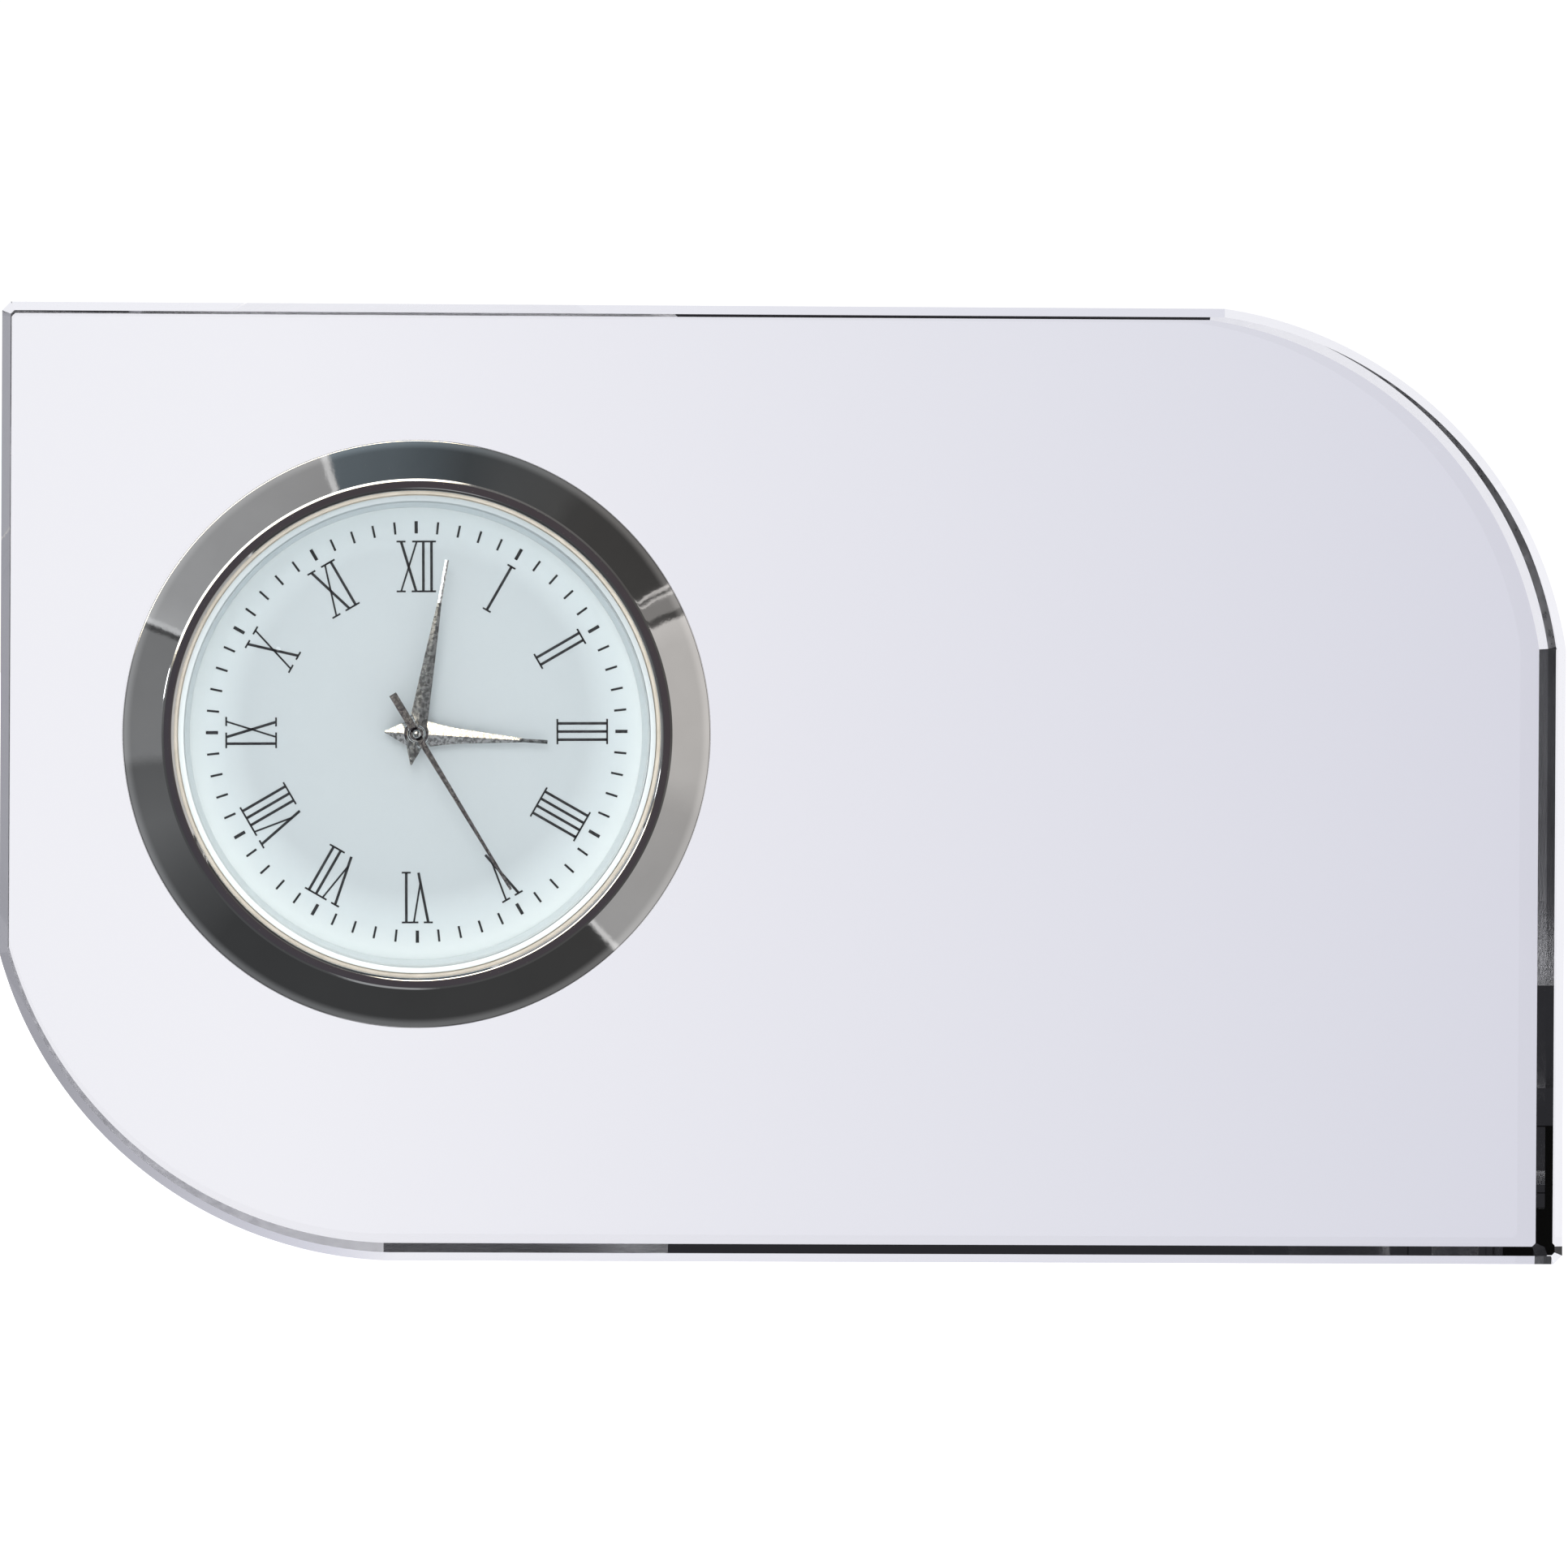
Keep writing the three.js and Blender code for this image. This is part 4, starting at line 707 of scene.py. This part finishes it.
# %% The printed dial marks
FIGURES = ["XII", "I", "II", "III", "IIII", "V", "VI", "VII", "VIII", "IX", "X", "XI"]
FIGURE_RADIUS, MARK_RADIUS, MARK_HALF = 10.57, 13.07, 0.39
HOUR_MARK, MINUTE_MARK = 0.21, 0.14
hours = [on_dial(figure(letters), math.tau * n / 12, FIGURE_RADIUS) for n, letters in enumerate(FIGURES)]
widths = [HOUR_MARK if n % 5 == 0 else MINUTE_MARK for n in range(60)]
minutes = [
    on_dial(np.array([[0, -MARK_HALF, 0, MARK_HALF, width]]), math.tau * n / 60, MARK_RADIUS)
    for n, width in enumerate(widths)
]
piece("dial_print", inked(np.concatenate(hours + minutes)), printed_ink, "insert", "dial_paint")

# %% [markdown]
# ## Hands
# The hands are stamped from bright aluminium with a fine grit. The hour and minute hands have
# a ridge along the middle, so one facet catches the light while the other stays dark. A strip
# between the hub's hole and the outline gives each facet as one plane, and a narrow bar with
# a steeper ridge makes the tip. The second hand is a flat bar.

# %% Hand finishes


def hand_metal(name, gloss, depth):
    """Bright aluminium: a fine grit sets its colour and surface, and a slow cloud moves its gloss."""
    material, shader = finish(name, Metallic=1.0)
    grit = grain(material, 5500, detail=2)
    cloud = grain(material, 900, detail=3)
    colour = shades(material, grit, (0.4, (0.46, 0.46, 0.46)), (0.58, (0.97, 0.97, 0.965)))
    return feed(material, shader, colour, spread(material, cloud, *gloss), grit, depth)


bright_hand = hand_metal("bright_hand", (0.07, 0.14), 0.0000004)
satin_hand = hand_metal("satin_hand", (0.14, 0.22), 0.0000014)

# %% Hands
HAND_THICK, HAND_EDGE = 0.2, 0.07
TIP_GRADE, TIP_RISE = 0.364, 0.035
RUNNING_MEAN = 13


def hand_edge(shape, count=160):
    """Half width along the hand: a table read off evenly and smoothed by a running mean."""
    along, half = np.array(shape, float).T
    place = np.linspace(along[0], along[-1], count)
    width = np.interp(place, along, half)
    padded = np.pad(width, RUNNING_MEAN // 2, mode="edge")
    smooth = np.convolve(padded, np.ones(RUNNING_MEAN) / RUNNING_MEAN, mode="valid")
    smooth[[0, -1]] = width[[0, -1]]
    return place, smooth


def swung(flat, depth, degrees):
    """Rows (across, along) turned clockwise about the clock's axis, at their depths."""
    x, z = clockwise(*flat.T, math.radians(degrees))
    return np.stack([CLOCK_X + x, depth, CLOCK_Z + z], axis=1)


def hand(shape, back, hole, degrees, ridge):
    """Hole and outline in front and behind; the front falls in proportion to the way from the ridge."""
    along, half = hand_edge(shape)
    right_side = np.stack([half, along], axis=1)
    left_side = np.stack([-half, along], axis=1)[::-1]
    edge = np.concatenate([right_side, [[0, along[-1]]], left_side, [[0, along[0]]]])
    angle = np.arctan2(edge[:, 0], edge[:, 1])
    eye = hole * np.stack([np.sin(angle), np.cos(angle)], axis=1)
    fall = (HAND_THICK - HAND_EDGE) / half.max() if ridge else 0.0
    front = [(flat, back - HAND_THICK + fall * np.abs(flat[:, 0])) for flat in (eye, edge)]
    rear = [(flat, np.full(len(flat), back)) for flat in (edge, eye)]
    return solid([swung(flat, depth, degrees) for flat, depth in front + rear])


def tip_bar(start, end, half, back, degrees):
    """A narrow bar with a steeper ridge: five corners across at its start and at its end."""
    face = back - HAND_THICK - TIP_RISE
    across = np.array([-half, -half, 0, half, half])
    depth = np.array([back, face + TIP_GRADE * half, face, face + TIP_GRADE * half, back])
    ends = [np.stack([across, np.full(5, along)], axis=1) for along in (start, end)]
    return solid([swung(flat, depth, degrees) for flat in ends], closed=False)


def collar(inner, outer, back):
    """A tube as thick as a hand, with a broken front edge."""
    front = back - HAND_THICK
    shoulder = [(outer, front + BROKEN), (outer - BROKEN, front)]
    return solid(turned([(inner, back), (outer, back), *shoulder, (inner, front)], 64))


# %% The three hands
SECOND_TURN, SECOND_BACK, SECOND_HOLE = 148.5, -9.8, 0.14
CAP_RADIUS, CAP_BACK, CAP_SHOULDER, CAP_RISE = 0.27, -9.9, -10.05, 0.16
HOUR_SHAPE = [
    (-2.02, 0.03), (-1.34, 0.4), (-0.59, 0.8), (0, 0.86), (0.67, 0.84),
    (1.51, 0.66), (2.52, 0.5), (4.37, 0.335), (6.3, 0.17), (6.9, 0.12),
]
MINUTE_SHAPE = [
    (-2.02, 0.03), (-1.46, 0.26), (-0.9, 0.5), (0, 0.59), (0.5, 0.6), (1.46, 0.54),
    (3.38, 0.44), (5.34, 0.33), (7.31, 0.215), (8.2, 0.145), (8.8, 0.12),
]
SECOND_SHAPE = [(-2.96, 0.25), (-0.58, 0.25), (0.4, 0.2), (3.48, 0.16), (8.0, 0.11), (11.6, 0.09)]
BLADES = [
    ("hour_blade", "hour_hand", HOUR_SHAPE, 93.3, -8.6, 0.62, 0.82, (6.6, 8.4, 0.12)),
    ("minute_blade", "minute_hand", MINUTE_SHAPE, 9.7, -9.2, 0.38, 0.58, (8.5, 11.25, 0.125)),
]
for name, node, shape, degrees, back, hole, hub, tip in BLADES:
    blade = [hand(shape, back, hole, degrees, True), tip_bar(*tip, back, degrees), collar(hole, hub, back)]
    piece(name, together(*blade), bright_hand, node, "silver_hand", node, crease=8)
dome = np.radians(np.linspace(90, 0, 9))[:, None]
dome = np.hstack([CAP_RADIUS * np.sin(dome), CAP_SHOULDER - CAP_RISE * np.cos(dome)])
cap_profile = np.concatenate([[(0, CAP_BACK), (CAP_RADIUS, CAP_BACK)], dome])
second = together(
    hand(SECOND_SHAPE, SECOND_BACK, SECOND_HOLE, SECOND_TURN, False),
    collar(SECOND_HOLE, 0.48, SECOND_BACK),
    solid(turned(cap_profile, 48)),
)
piece("second_bar", second, satin_hand, "second_hand", "silver_hand", "second_hand", crease=8)

# %% [markdown]
# ## Case, grip ring and back
# Behind the glass the clock head is a steel tube. A ribbed plastic ring holds it in the bore,
# a pressed cover closes its back, and a small crown stands in a pocket on the right. The tube
# is turned, and two cutters take out the pocket and the stem's hole.

# %% Steel finishes
brushed_steel, shader = finish("brushed_steel", Metallic=1.0)
brush = rings(brushed_steel, 9000, AXIS, detail=4)
cloud = grain(brushed_steel, 180)
colour = shades(brushed_steel, brush, (0.3, (0.52, 0.52, 0.525)), (0.7, (0.68, 0.68, 0.68)))
feed(brushed_steel, shader, colour, spread(brushed_steel, cloud, 0.24, 0.38), brush, 0.000004)

# %% The case
CASE_FRONT, CASE_BACK = -9.75, -2.6
POCKET_RADIUS, STEM_HOLE = 1.85, 0.5
crown_low, crown_high = measured("crown")
stem_depth = (crown_low[1] + crown_high[1]) / 2
case_profile = [
    (15.0, CASE_FRONT), (16.15, CASE_FRONT), (16.2, CASE_FRONT + 0.05), (16.2, CASE_BACK - 0.08),
    (16.12, CASE_BACK), (15.5, CASE_BACK), (15.5, -3.1), (14.9, -3.1), (14.9, CASE_BACK), (14.2, CASE_BACK),
    (14.2, -7.6), (15.0, -7.6),
]
tube = solid(turned(case_profile, 192))
case = piece("case_tube", tube, brushed_steel, "insert", "case_steel", "case_body")


def sideways_rod(radius, start, end, count=64):
    """A cylinder along X at the stem's depth, from start to end."""
    angle = np.linspace(0, 2 * np.pi, count, endpoint=False)
    circle = radius * np.stack([np.zeros(count), np.cos(angle), np.sin(angle)], axis=1)
    return solid([circle + [x, stem_depth, CLOCK_Z] for x in (start, end)], closed=False)


def cut(target, shell):
    """Takes a shell out of a piece: a Boolean is worked out once and its result kept as the mesh."""
    cutter = put("cutter", meshed("cutter", *shell))
    taken = target.modifiers.new("cut", "BOOLEAN")
    taken.operation, taken.object, taken.solver = "DIFFERENCE", cutter, "EXACT"
    done = target.evaluated_get(bpy.context.evaluated_depsgraph_get())
    result = bpy.data.meshes.new_from_object(done)
    target.modifiers.remove(taken)
    target.data = result
    bpy.data.objects.remove(cutter)
    return len(result.polygons)


pocket_start = crown_low[0] - SEAT
cut(case, sideways_rod(POCKET_RADIUS, pocket_start, CLOCK_X + 17.2))
print("case faces after both cuts:", cut(case, sideways_rod(STEM_HOLE, CLOCK_X + 13.2, CLOCK_X + 16.2)))

# %% The grip ring
GRIP_RIBS, GRIP_GAP = 28, math.radians(17)
GRIP_INNER, GRIP_OUTER, GRIP_FRONT, GRIP_EDGE = 16.25, 16.95, -8.15, 0.08
RIB_RISE, RIB_HALF, RIB_FLANK = 0.44, 0.32, 0.12


def grip_sections(count=GRIP_RIBS * 12 + 1):
    """Sections along an open ring; at share s of a flank a rib has risen by s squared times (3 - 2 s)."""
    turn = np.pi / 2 + GRIP_GAP / 2 + np.linspace(0, 1, count) * (2 * np.pi - GRIP_GAP)
    phase = np.linspace(0, GRIP_RIBS, count) % 1.0
    rib = np.clip((RIB_HALF - np.abs(phase - 0.5)) / RIB_FLANK, 0, 1)
    outer = GRIP_OUTER + RIB_RISE * rib * rib * (3 - 2 * rib)
    inner = np.full(count, GRIP_INNER)
    radii = np.stack([inner, outer - GRIP_EDGE, outer, outer, outer - GRIP_EDGE, inner], axis=1)
    depth = np.repeat([GRIP_FRONT, CASE_BACK], 3) + [0, 0, GRIP_EDGE, -GRIP_EDGE, 0, 0]
    return around(radii, turn[:, None], depth)


grip = solid(grip_sections(), closed=False)
piece("ribbed_grip", grip, cream_rubber, "insert", "clear_rubber", "grip_ring", crease=40)

# %% The back cover
COVER_RADIUS, COVER_FRONT, COVER_BACK = 15.95, -2.55, -2.05
NOTCH_HALF, NOTCH_DEEP, EDGE_ROWS = 1.5, 0.6, (5, 6)


def cover_loops():
    """The turned profile; at the pry notch the edge moves towards the axis as far as a level line."""
    profile = np.array([
        (0, COVER_FRONT), (13.75, COVER_FRONT), (13.75, -3.05), (14.15, -3.05), (14.15, COVER_FRONT),
        (COVER_RADIUS, COVER_FRONT), (COVER_RADIUS, COVER_BACK - 0.15), (COVER_RADIUS, COVER_BACK - 0.15),
        (COVER_RADIUS - 0.06, COVER_BACK - 0.05), (COVER_RADIUS - 0.2, COVER_BACK), (13.2, COVER_BACK),
        (13.05, COVER_BACK - 0.06), (12.75, COVER_BACK - 0.06), (12.6, COVER_BACK), (0, COVER_BACK),
    ])
    loops = turned(profile)
    across, up = (loops[EDGE_ROWS[0]] - [CLOCK_X, 0, CLOCK_Z])[:, [0, 2]].T
    notched = (np.abs(across) < NOTCH_HALF) & (up < 0)
    shrink = np.where(notched, (COVER_RADIUS - NOTCH_DEEP) / np.maximum(-up, 1e-6), 1.0)
    for row in EDGE_ROWS:
        loops[row, :, 0] = CLOCK_X + across * shrink
        loops[row, :, 2] = CLOCK_Z + up * shrink
    return loops


cover = solid(cover_loops())
piece("pressed_cover", cover, brushed_steel, "back_cover", "case_steel", "back_cover", crease=25)

# %% [markdown]
# ## The movement
# The wheels, plates and cell are hidden until the cover is off. Their CAD solids are already
# the right shapes, so they stay and only get finishes: satin brass and steel with fine marks,
# enamelled copper, lacquered board and moulded resin.

# %% Movement finishes


def metal(name, dark, light, scale, gloss, stretch):
    """A satin metal: noise stretched about the axis sets its colour, its gloss and fine marks."""
    marks = {"scale": scale, "detail": 4, "stretch": stretch, "about": AXIS}
    return mottled(name, dark, light, marks, gloss, depth=0.000006, Metallic=1.0)


def moulded(name, dark, light, scale, gloss):
    """A moulded or lacquered finish: cloudy colour and gloss, and a skin nine times as fine."""
    cloud, skin = {"scale": scale}, {"scale": scale * 9, "detail": 2}
    return mottled(name, dark, light, cloud, gloss, skin, 0.000005, Specular_IOR_Level=0.5)


satin_brass = metal("satin_brass", (0.62, 0.45, 0.19), (0.80, 0.62, 0.32), 1500, (0.22, 0.36), (1, 1, 0.2))
satin_steel = metal("satin_steel", (0.46, 0.47, 0.49), (0.64, 0.65, 0.67), 1500, (0.24, 0.4), (0.2, 1, 1))
nickel_can = metal("nickel_can", (0.60, 0.60, 0.59), (0.76, 0.76, 0.74), 900, (0.16, 0.3), (1, 1, 0.15))
copper_wire = metal("copper_wire", (0.45, 0.19, 0.08), (0.74, 0.37, 0.19), 6000, (0.25, 0.4), (0.06, 1, 1))
green_board = moulded("green_board", (0.030, 0.125, 0.060), (0.050, 0.185, 0.090), 900, (0.22, 0.35))
black_resin = moulded("black_resin", (0.010, 0.010, 0.012), (0.022, 0.022, 0.025), 1200, (0.4, 0.6))
black_seal = moulded("black_seal", (0.012, 0.012, 0.013), (0.026, 0.026, 0.028), 1500, (0.55, 0.75))

FINISH_OF_SLOT = {
    "movement_brass": satin_brass, "movement_steel": satin_steel, "cell_can": nickel_can,
    "copper_wire": copper_wire, "green_board": green_board, "black_resin": black_resin,
    "dark_rubber": black_seal, "polished_chrome": bright_chrome, "white_plastic": pale_plastic,
}

# %% Give every carried-over solid its finish
kept = 0
for row in frame["record"]["subparts"]:
    solid_object = frame["nodes"][row["node"]]
    if not solid_object.hide_render:
        solid_object.data.materials.clear()
        solid_object.data.materials.append(FINISH_OF_SLOT[row["material_slot"]])
        kept += 1
print("carried-over solids with a finish:", kept)

# %% [markdown]
# ## The floor and the room
# The clock stands on a plain pale floor in an even white room. The room is a little dimmer to
# the right behind the clock, and that is the soft grey that shows through the glass. Cut
# glass gets its dark edges from light that is thrown back inside it. For that light alone
# the room is dark, or grey on the right, wherever it leaves sideways, straight back, down a
# little to the left or by roundabout ways through the bore. A soft key light stands high in
# front.

# %% The floor
FLOOR_REACH, FLOOR_DROP = 4000.0, 0.05
pale_floor, shader = finish(
    "pale_floor", Base_Color=(0.86, 0.86, 0.86, 1), Roughness=0.6,
    Emission_Color=(1, 1, 1, 1), Emission_Strength=0.85,
)
sheet = np.array([(-1, -1, 0), (1, -1, 0), (1, 1, 0), (-1, 1, 0)]) * FLOOR_REACH - [0, 0, FLOOR_DROP]
floor = put("floor", meshed("floor", sheet, [[0, 1, 2, 3]]))
floor.data.materials.append(pale_floor)
floor.visible_glossy = False
floor.visible_transmission = False

# %% The room
world = bpy.data.worlds.new("white_room")
bpy.context.scene.world = world
world.use_nodes = True
nodes, links = world.node_tree.nodes, world.node_tree.links


def step(operation, first, second):
    """A Math node on the room's nodes: each input is a number or another node's output."""
    math_node = nodes.new("ShaderNodeMath")
    math_node.operation = operation
    for socket, value in zip(math_node.inputs, (first, second)):
        if isinstance(value, (int, float)):
            socket.default_value = value
        else:
            links.new(value, socket)
    return math_node.outputs["Value"]


above, below = partial(step, "GREATER_THAN"), partial(step, "LESS_THAN")
both, either = partial(step, "MULTIPLY"), partial(step, "MAXIMUM")


def mixed(factor, first, second):
    """A colour that goes from first to second as the factor goes from 0 to 1."""
    mix = nodes.new("ShaderNodeMix")
    mix.data_type = "RGBA"
    links.new(factor, mix.inputs["Factor"])
    for socket, value in ((mix.inputs["A"], first), (mix.inputs["B"], second)):
        if isinstance(value, tuple):
            socket.default_value = (*value, 1)
        else:
            links.new(value, socket)
    return mix.outputs["Result"]


# %% The backdrop
SIDE_GREY, SIDE_DARK, SIDE_PALE = (0.36, 0.36, 0.39), (0.022, 0.022, 0.025), (0.93, 0.93, 0.955)
FAR_WHITE = (1.05, 1.05, 1.05)
SWEEP_START, SWEEP_END = -0.1, 0.9
SWEEP = [
    (-0.1, (0.955, 0.955, 0.98)), (0.012, (0.955, 0.955, 0.98)), (0.095, (0.745, 0.747, 0.815)),
    (0.38, SIDE_GREY), (0.55, SIDE_GREY), (0.75, (0.84, 0.84, 0.86)),
]
BACKDROP_FOOT, BACKDROP_END, PALE_FROM = -0.06, 0.6, 0.2
where = nodes.new("ShaderNodeTexCoord")
split = nodes.new("ShaderNodeSeparateXYZ")
ray = nodes.new("ShaderNodeLightPath")
links.new(where.outputs["Generated"], split.inputs["Vector"])
x, y, z = (split.outputs[axis] for axis in "XYZ")
place = spread(world, x, 0.0, 1.0, (SWEEP_START, SWEEP_END))
backdrop = shades(world, place, *[(stop - SWEEP_START, colour) for stop, colour in SWEEP])
off_backdrop = either(below(z, BACKDROP_FOOT), below(y, BACKDROP_END))
pale_side = both(off_backdrop, above(x, PALE_FROM))
plain_room = mixed(pale_side, backdrop, SIDE_PALE)

# %% What light thrown back inside the glass meets
ONCE, TWICE, BORE_WALLS, MANY_WALLS = 0.5, 1.5, 2.5, 5.5
SIDEWAYS, ALONG_AXIS, STRAIGHT_ON = 0.3, 0.8, 0.985
LEFT_MIDDLE, LEFT_SPAN, GREY_FROM = 0.2, 0.2, 0.3
thrown, crossed = ray.outputs["Glossy Depth"], ray.outputs["Transmission Depth"]
in_edge = both(above(thrown, ONCE), below(crossed, MANY_WALLS))
in_edge = both(in_edge, ray.outputs["Is Transmission Ray"])
often = above(thrown, TWICE)
through_bore = above(crossed, BORE_WALLS)
sideways = below(step("ABSOLUTE", y, 0.0), SIDEWAYS)
roundabout = both(through_bore, either(often, ray.outputs["Diffuse Depth"]))
straight_back = both(often, below(y, -ALONG_AXIS))
a_little_left = below(step("ABSOLUTE", step("ADD", x, LEFT_MIDDLE), 0.0), LEFT_SPAN)
down_left = both(both(a_little_left, below(z, 0.0)), above(y, ALONG_AXIS))
to_dark = either(either(sideways, roundabout), either(straight_back, down_left))
aside = both(both(in_edge, to_dark), below(y, STRAIGHT_ON))
to_grey = above(step("SUBTRACT", x, either(often, through_bore)), GREY_FROM)
room = mixed(aside, plain_room, mixed(to_grey, SIDE_DARK, SIDE_GREY))
room = mixed(ray.outputs["Is Camera Ray"], room, FAR_WHITE)
links.new(room, nodes["Background"].inputs["Color"])
bpy.context.scene.view_settings.view_transform = "Standard"
print("room made of", len(nodes), "nodes")

# %% The key light
KEY_TURN, KEY_TILT, KEY_AWAY = math.radians(342), math.radians(28), 600.0
KEY_SIZE, KEY_POWER = 300.0, 1.3
key_data = bpy.data.lights.new("key_light", "AREA")
key_data.size = KEY_SIZE * MM
key_data.energy = KEY_POWER
key = put("key_light", key_data)
aslant = math.sin(KEY_TILT)
towards = np.array([aslant * math.sin(KEY_TURN), -math.cos(KEY_TILT), aslant * math.cos(KEY_TURN)])
key.location = Vector((np.array([CLOCK_X, GLASS_FRONT, CLOCK_Z]) + KEY_AWAY * towards) * MM)
key.rotation_euler = Vector(towards).to_track_quat("Z", "Y").to_euler()
key.visible_camera = False
key.visible_glossy = False
key.visible_transmission = False
print("key light towards", towards.round(2), "at", KEY_AWAY, "mm")

# %% [markdown]
# ## Studio panels for the chrome
# Polished metal is lit by what it mirrors. Round the lens stands a ring of plain light and
# dark panels, as in a product studio, with a soft key light high on the left in front. Only
# reflections see it, so it neither shades the clock nor shows behind it.

# %% The ring of panels
PANELS = [
    (0.0, 0.108), (12.0, 0.066), (20.0, 0.077), (33.0, 0.077), (37.0, 0.055), (60.0, 0.055),
    (60.2, 0.6), (60.7, 0.6), (60.9, 0.06), (61.4, 0.06), (61.6, 0.6), (62.0, 0.6),
    (62.2, 0.24), (65.0, 0.24), (65.5, 0.07), (66.5, 0.07), (67.2, 0.62), (72.0, 0.54),
    (100.0, 0.52), (107.0, 0.41), (135.6, 0.375), (135.9, 0.7), (136.5, 0.7), (137.2, 0.051),
    (222.0, 0.051), (236.0, 0.09), (250.0, 0.143), (262.0, 0.12), (264.5, 0.22), (290.5, 0.21),
    (291.0, 0.06), (291.8, 0.06), (292.2, 0.6), (292.9, 0.6), (293.3, 0.42), (300.0, 0.36),
    (341.3, 0.325), (341.7, 0.65), (342.6, 0.65), (343.4, 0.135), (356.0, 0.125), (360.0, 0.108),
]
FRONT = [
    (0.0, 4.2), (8.0, 4.2), (15.0, 0.18), (60.0, 0.09), (92.0, 0.09), (96.0, 0.12),
    (104.0, 0.12), (108.0, 0.08), (172.0, 0.08), (177.0, 0.36), (190.0, 0.36), (195.0, 0.08),
    (262.0, 0.08), (272.0, 0.13), (283.0, 0.14), (287.0, 0.7), (291.0, 4.2), (360.0, 4.2),
]
ROOM_RADIUS = 700.0
FRONT_TILT, PANEL_TILT, TILT_FADE, FRONT_DARK = 10, 34, 3, 0.065
STRIP_TURN, STRIP_TILT, STRIP_LIGHT = (280.5, 3.5), (40, 5), 4.5
BACK_TILT, BACK_FADE, BACK_LIGHT = 70, 11, 0.12
TOP_START, WARM_START, WARM_END, WARM_TILT = 343, 284, 14, (23, 12)


def panel_ring(turns=1440, rows=49):
    """Points on a ball about the clock: clockwise turn along the rows, tilt from the lens down them."""
    turn = np.linspace(0, 2 * np.pi, turns, endpoint=False)[None, :]
    tilt = np.radians(np.linspace(0.02, 120, rows))[:, None]
    points = around(ROOM_RADIUS * np.sin(tilt), turn, GLASS_FRONT - ROOM_RADIUS * np.cos(tilt))
    return points, np.degrees(turn), np.degrees(tilt)


def panel_light(turn, tilt):
    """Brightness by tilt: dark, the front table, then panels and a strip, each faded into the next."""
    panels = np.interp(turn, *np.array(PANELS).T)
    panels = panels + BACK_LIGHT * np.clip((tilt - BACK_TILT) / BACK_FADE, 0, 1) ** 1.3
    ahead, away = (np.clip((tilt - start) / TILT_FADE, 0, 1) for start in (FRONT_TILT, PANEL_TILT))
    front = FRONT_DARK + (np.interp(turn, *np.array(FRONT).T) - FRONT_DARK) * ahead
    on_strip = np.abs(turn - STRIP_TURN[0]) < STRIP_TURN[1]
    on_strip = on_strip & (np.abs(tilt - STRIP_TILT[0]) < STRIP_TILT[1])
    return np.maximum(panels, STRIP_LIGHT * on_strip) * away + front * (1 - away)


def panel_tint(turn, tilt):
    """Colour: shares of blue at the top, warm right, cool left and below, a warm key, purple ahead."""
    past_top = (turn - TOP_START) % 360
    top = np.interp(past_top, [0, 0.5, 22, 36, 57], [0, 1, 1, 0.4, 0]) * (tilt > PANEL_TILT + 2)
    side = 0.03 * np.sin(np.radians(turn)) - 0.03 * np.cos(np.radians(turn - 180)).clip(0)
    high = (turn > WARM_START) | (turn < WARM_END)
    warm_key = 0.12 * high * (np.abs(tilt - WARM_TILT[0]) < WARM_TILT[1])
    dark_front = 0.09 * (tilt < FRONT_TILT)
    red = 1 + side - 0.17 * top + dark_front + warm_key / 2
    green = 1 - dark_front / 2 - warm_key / 3
    blue = 1 - side + 0.12 * top + dark_front - 2 * warm_key
    return np.stack([red, green, blue], axis=-1)


# %% Put up the panels
loops, turn, tilt = panel_ring()
points, faces = skinned(loops)
faces = faces[: (loops.shape[0] - 1) * loops.shape[1]]
ring_mesh = meshed("studio_panels", points, faces)
light = panel_light(turn, tilt)[..., None] * panel_tint(turn, tilt)
glow = np.concatenate([light, np.ones_like(light[..., :1])], axis=-1)
attribute = ring_mesh.attributes.new("glow", "FLOAT_COLOR", "POINT")
attribute.data.foreach_set("color", glow.astype(np.float32).ravel())
panel_glow = bpy.data.materials.new("panel_glow")
panel_glow.use_nodes = True
nodes, links = panel_glow.node_tree.nodes, panel_glow.node_tree.links
nodes.remove(nodes["Principled BSDF"])
emission = nodes.new("ShaderNodeEmission")
reader = nodes.new("ShaderNodeAttribute")
reader.attribute_name = "glow"
links.new(reader.outputs["Color"], emission.inputs["Color"])
links.new(emission.outputs["Emission"], nodes["Material Output"].inputs["Surface"])
panel_glow.cycles.emission_sampling = "NONE"
ring_mesh.materials.append(panel_glow)
studio_panels = put("studio_panels", ring_mesh)
studio_panels.visible_camera = False
studio_panels.visible_diffuse = False
studio_panels.visible_transmission = False
studio_panels.visible_shadow = False
print("studio panels:", len(faces), "faces")

# %% [markdown]
# ## Finish

# %% Update the view layer
bpy.context.view_layer.update()
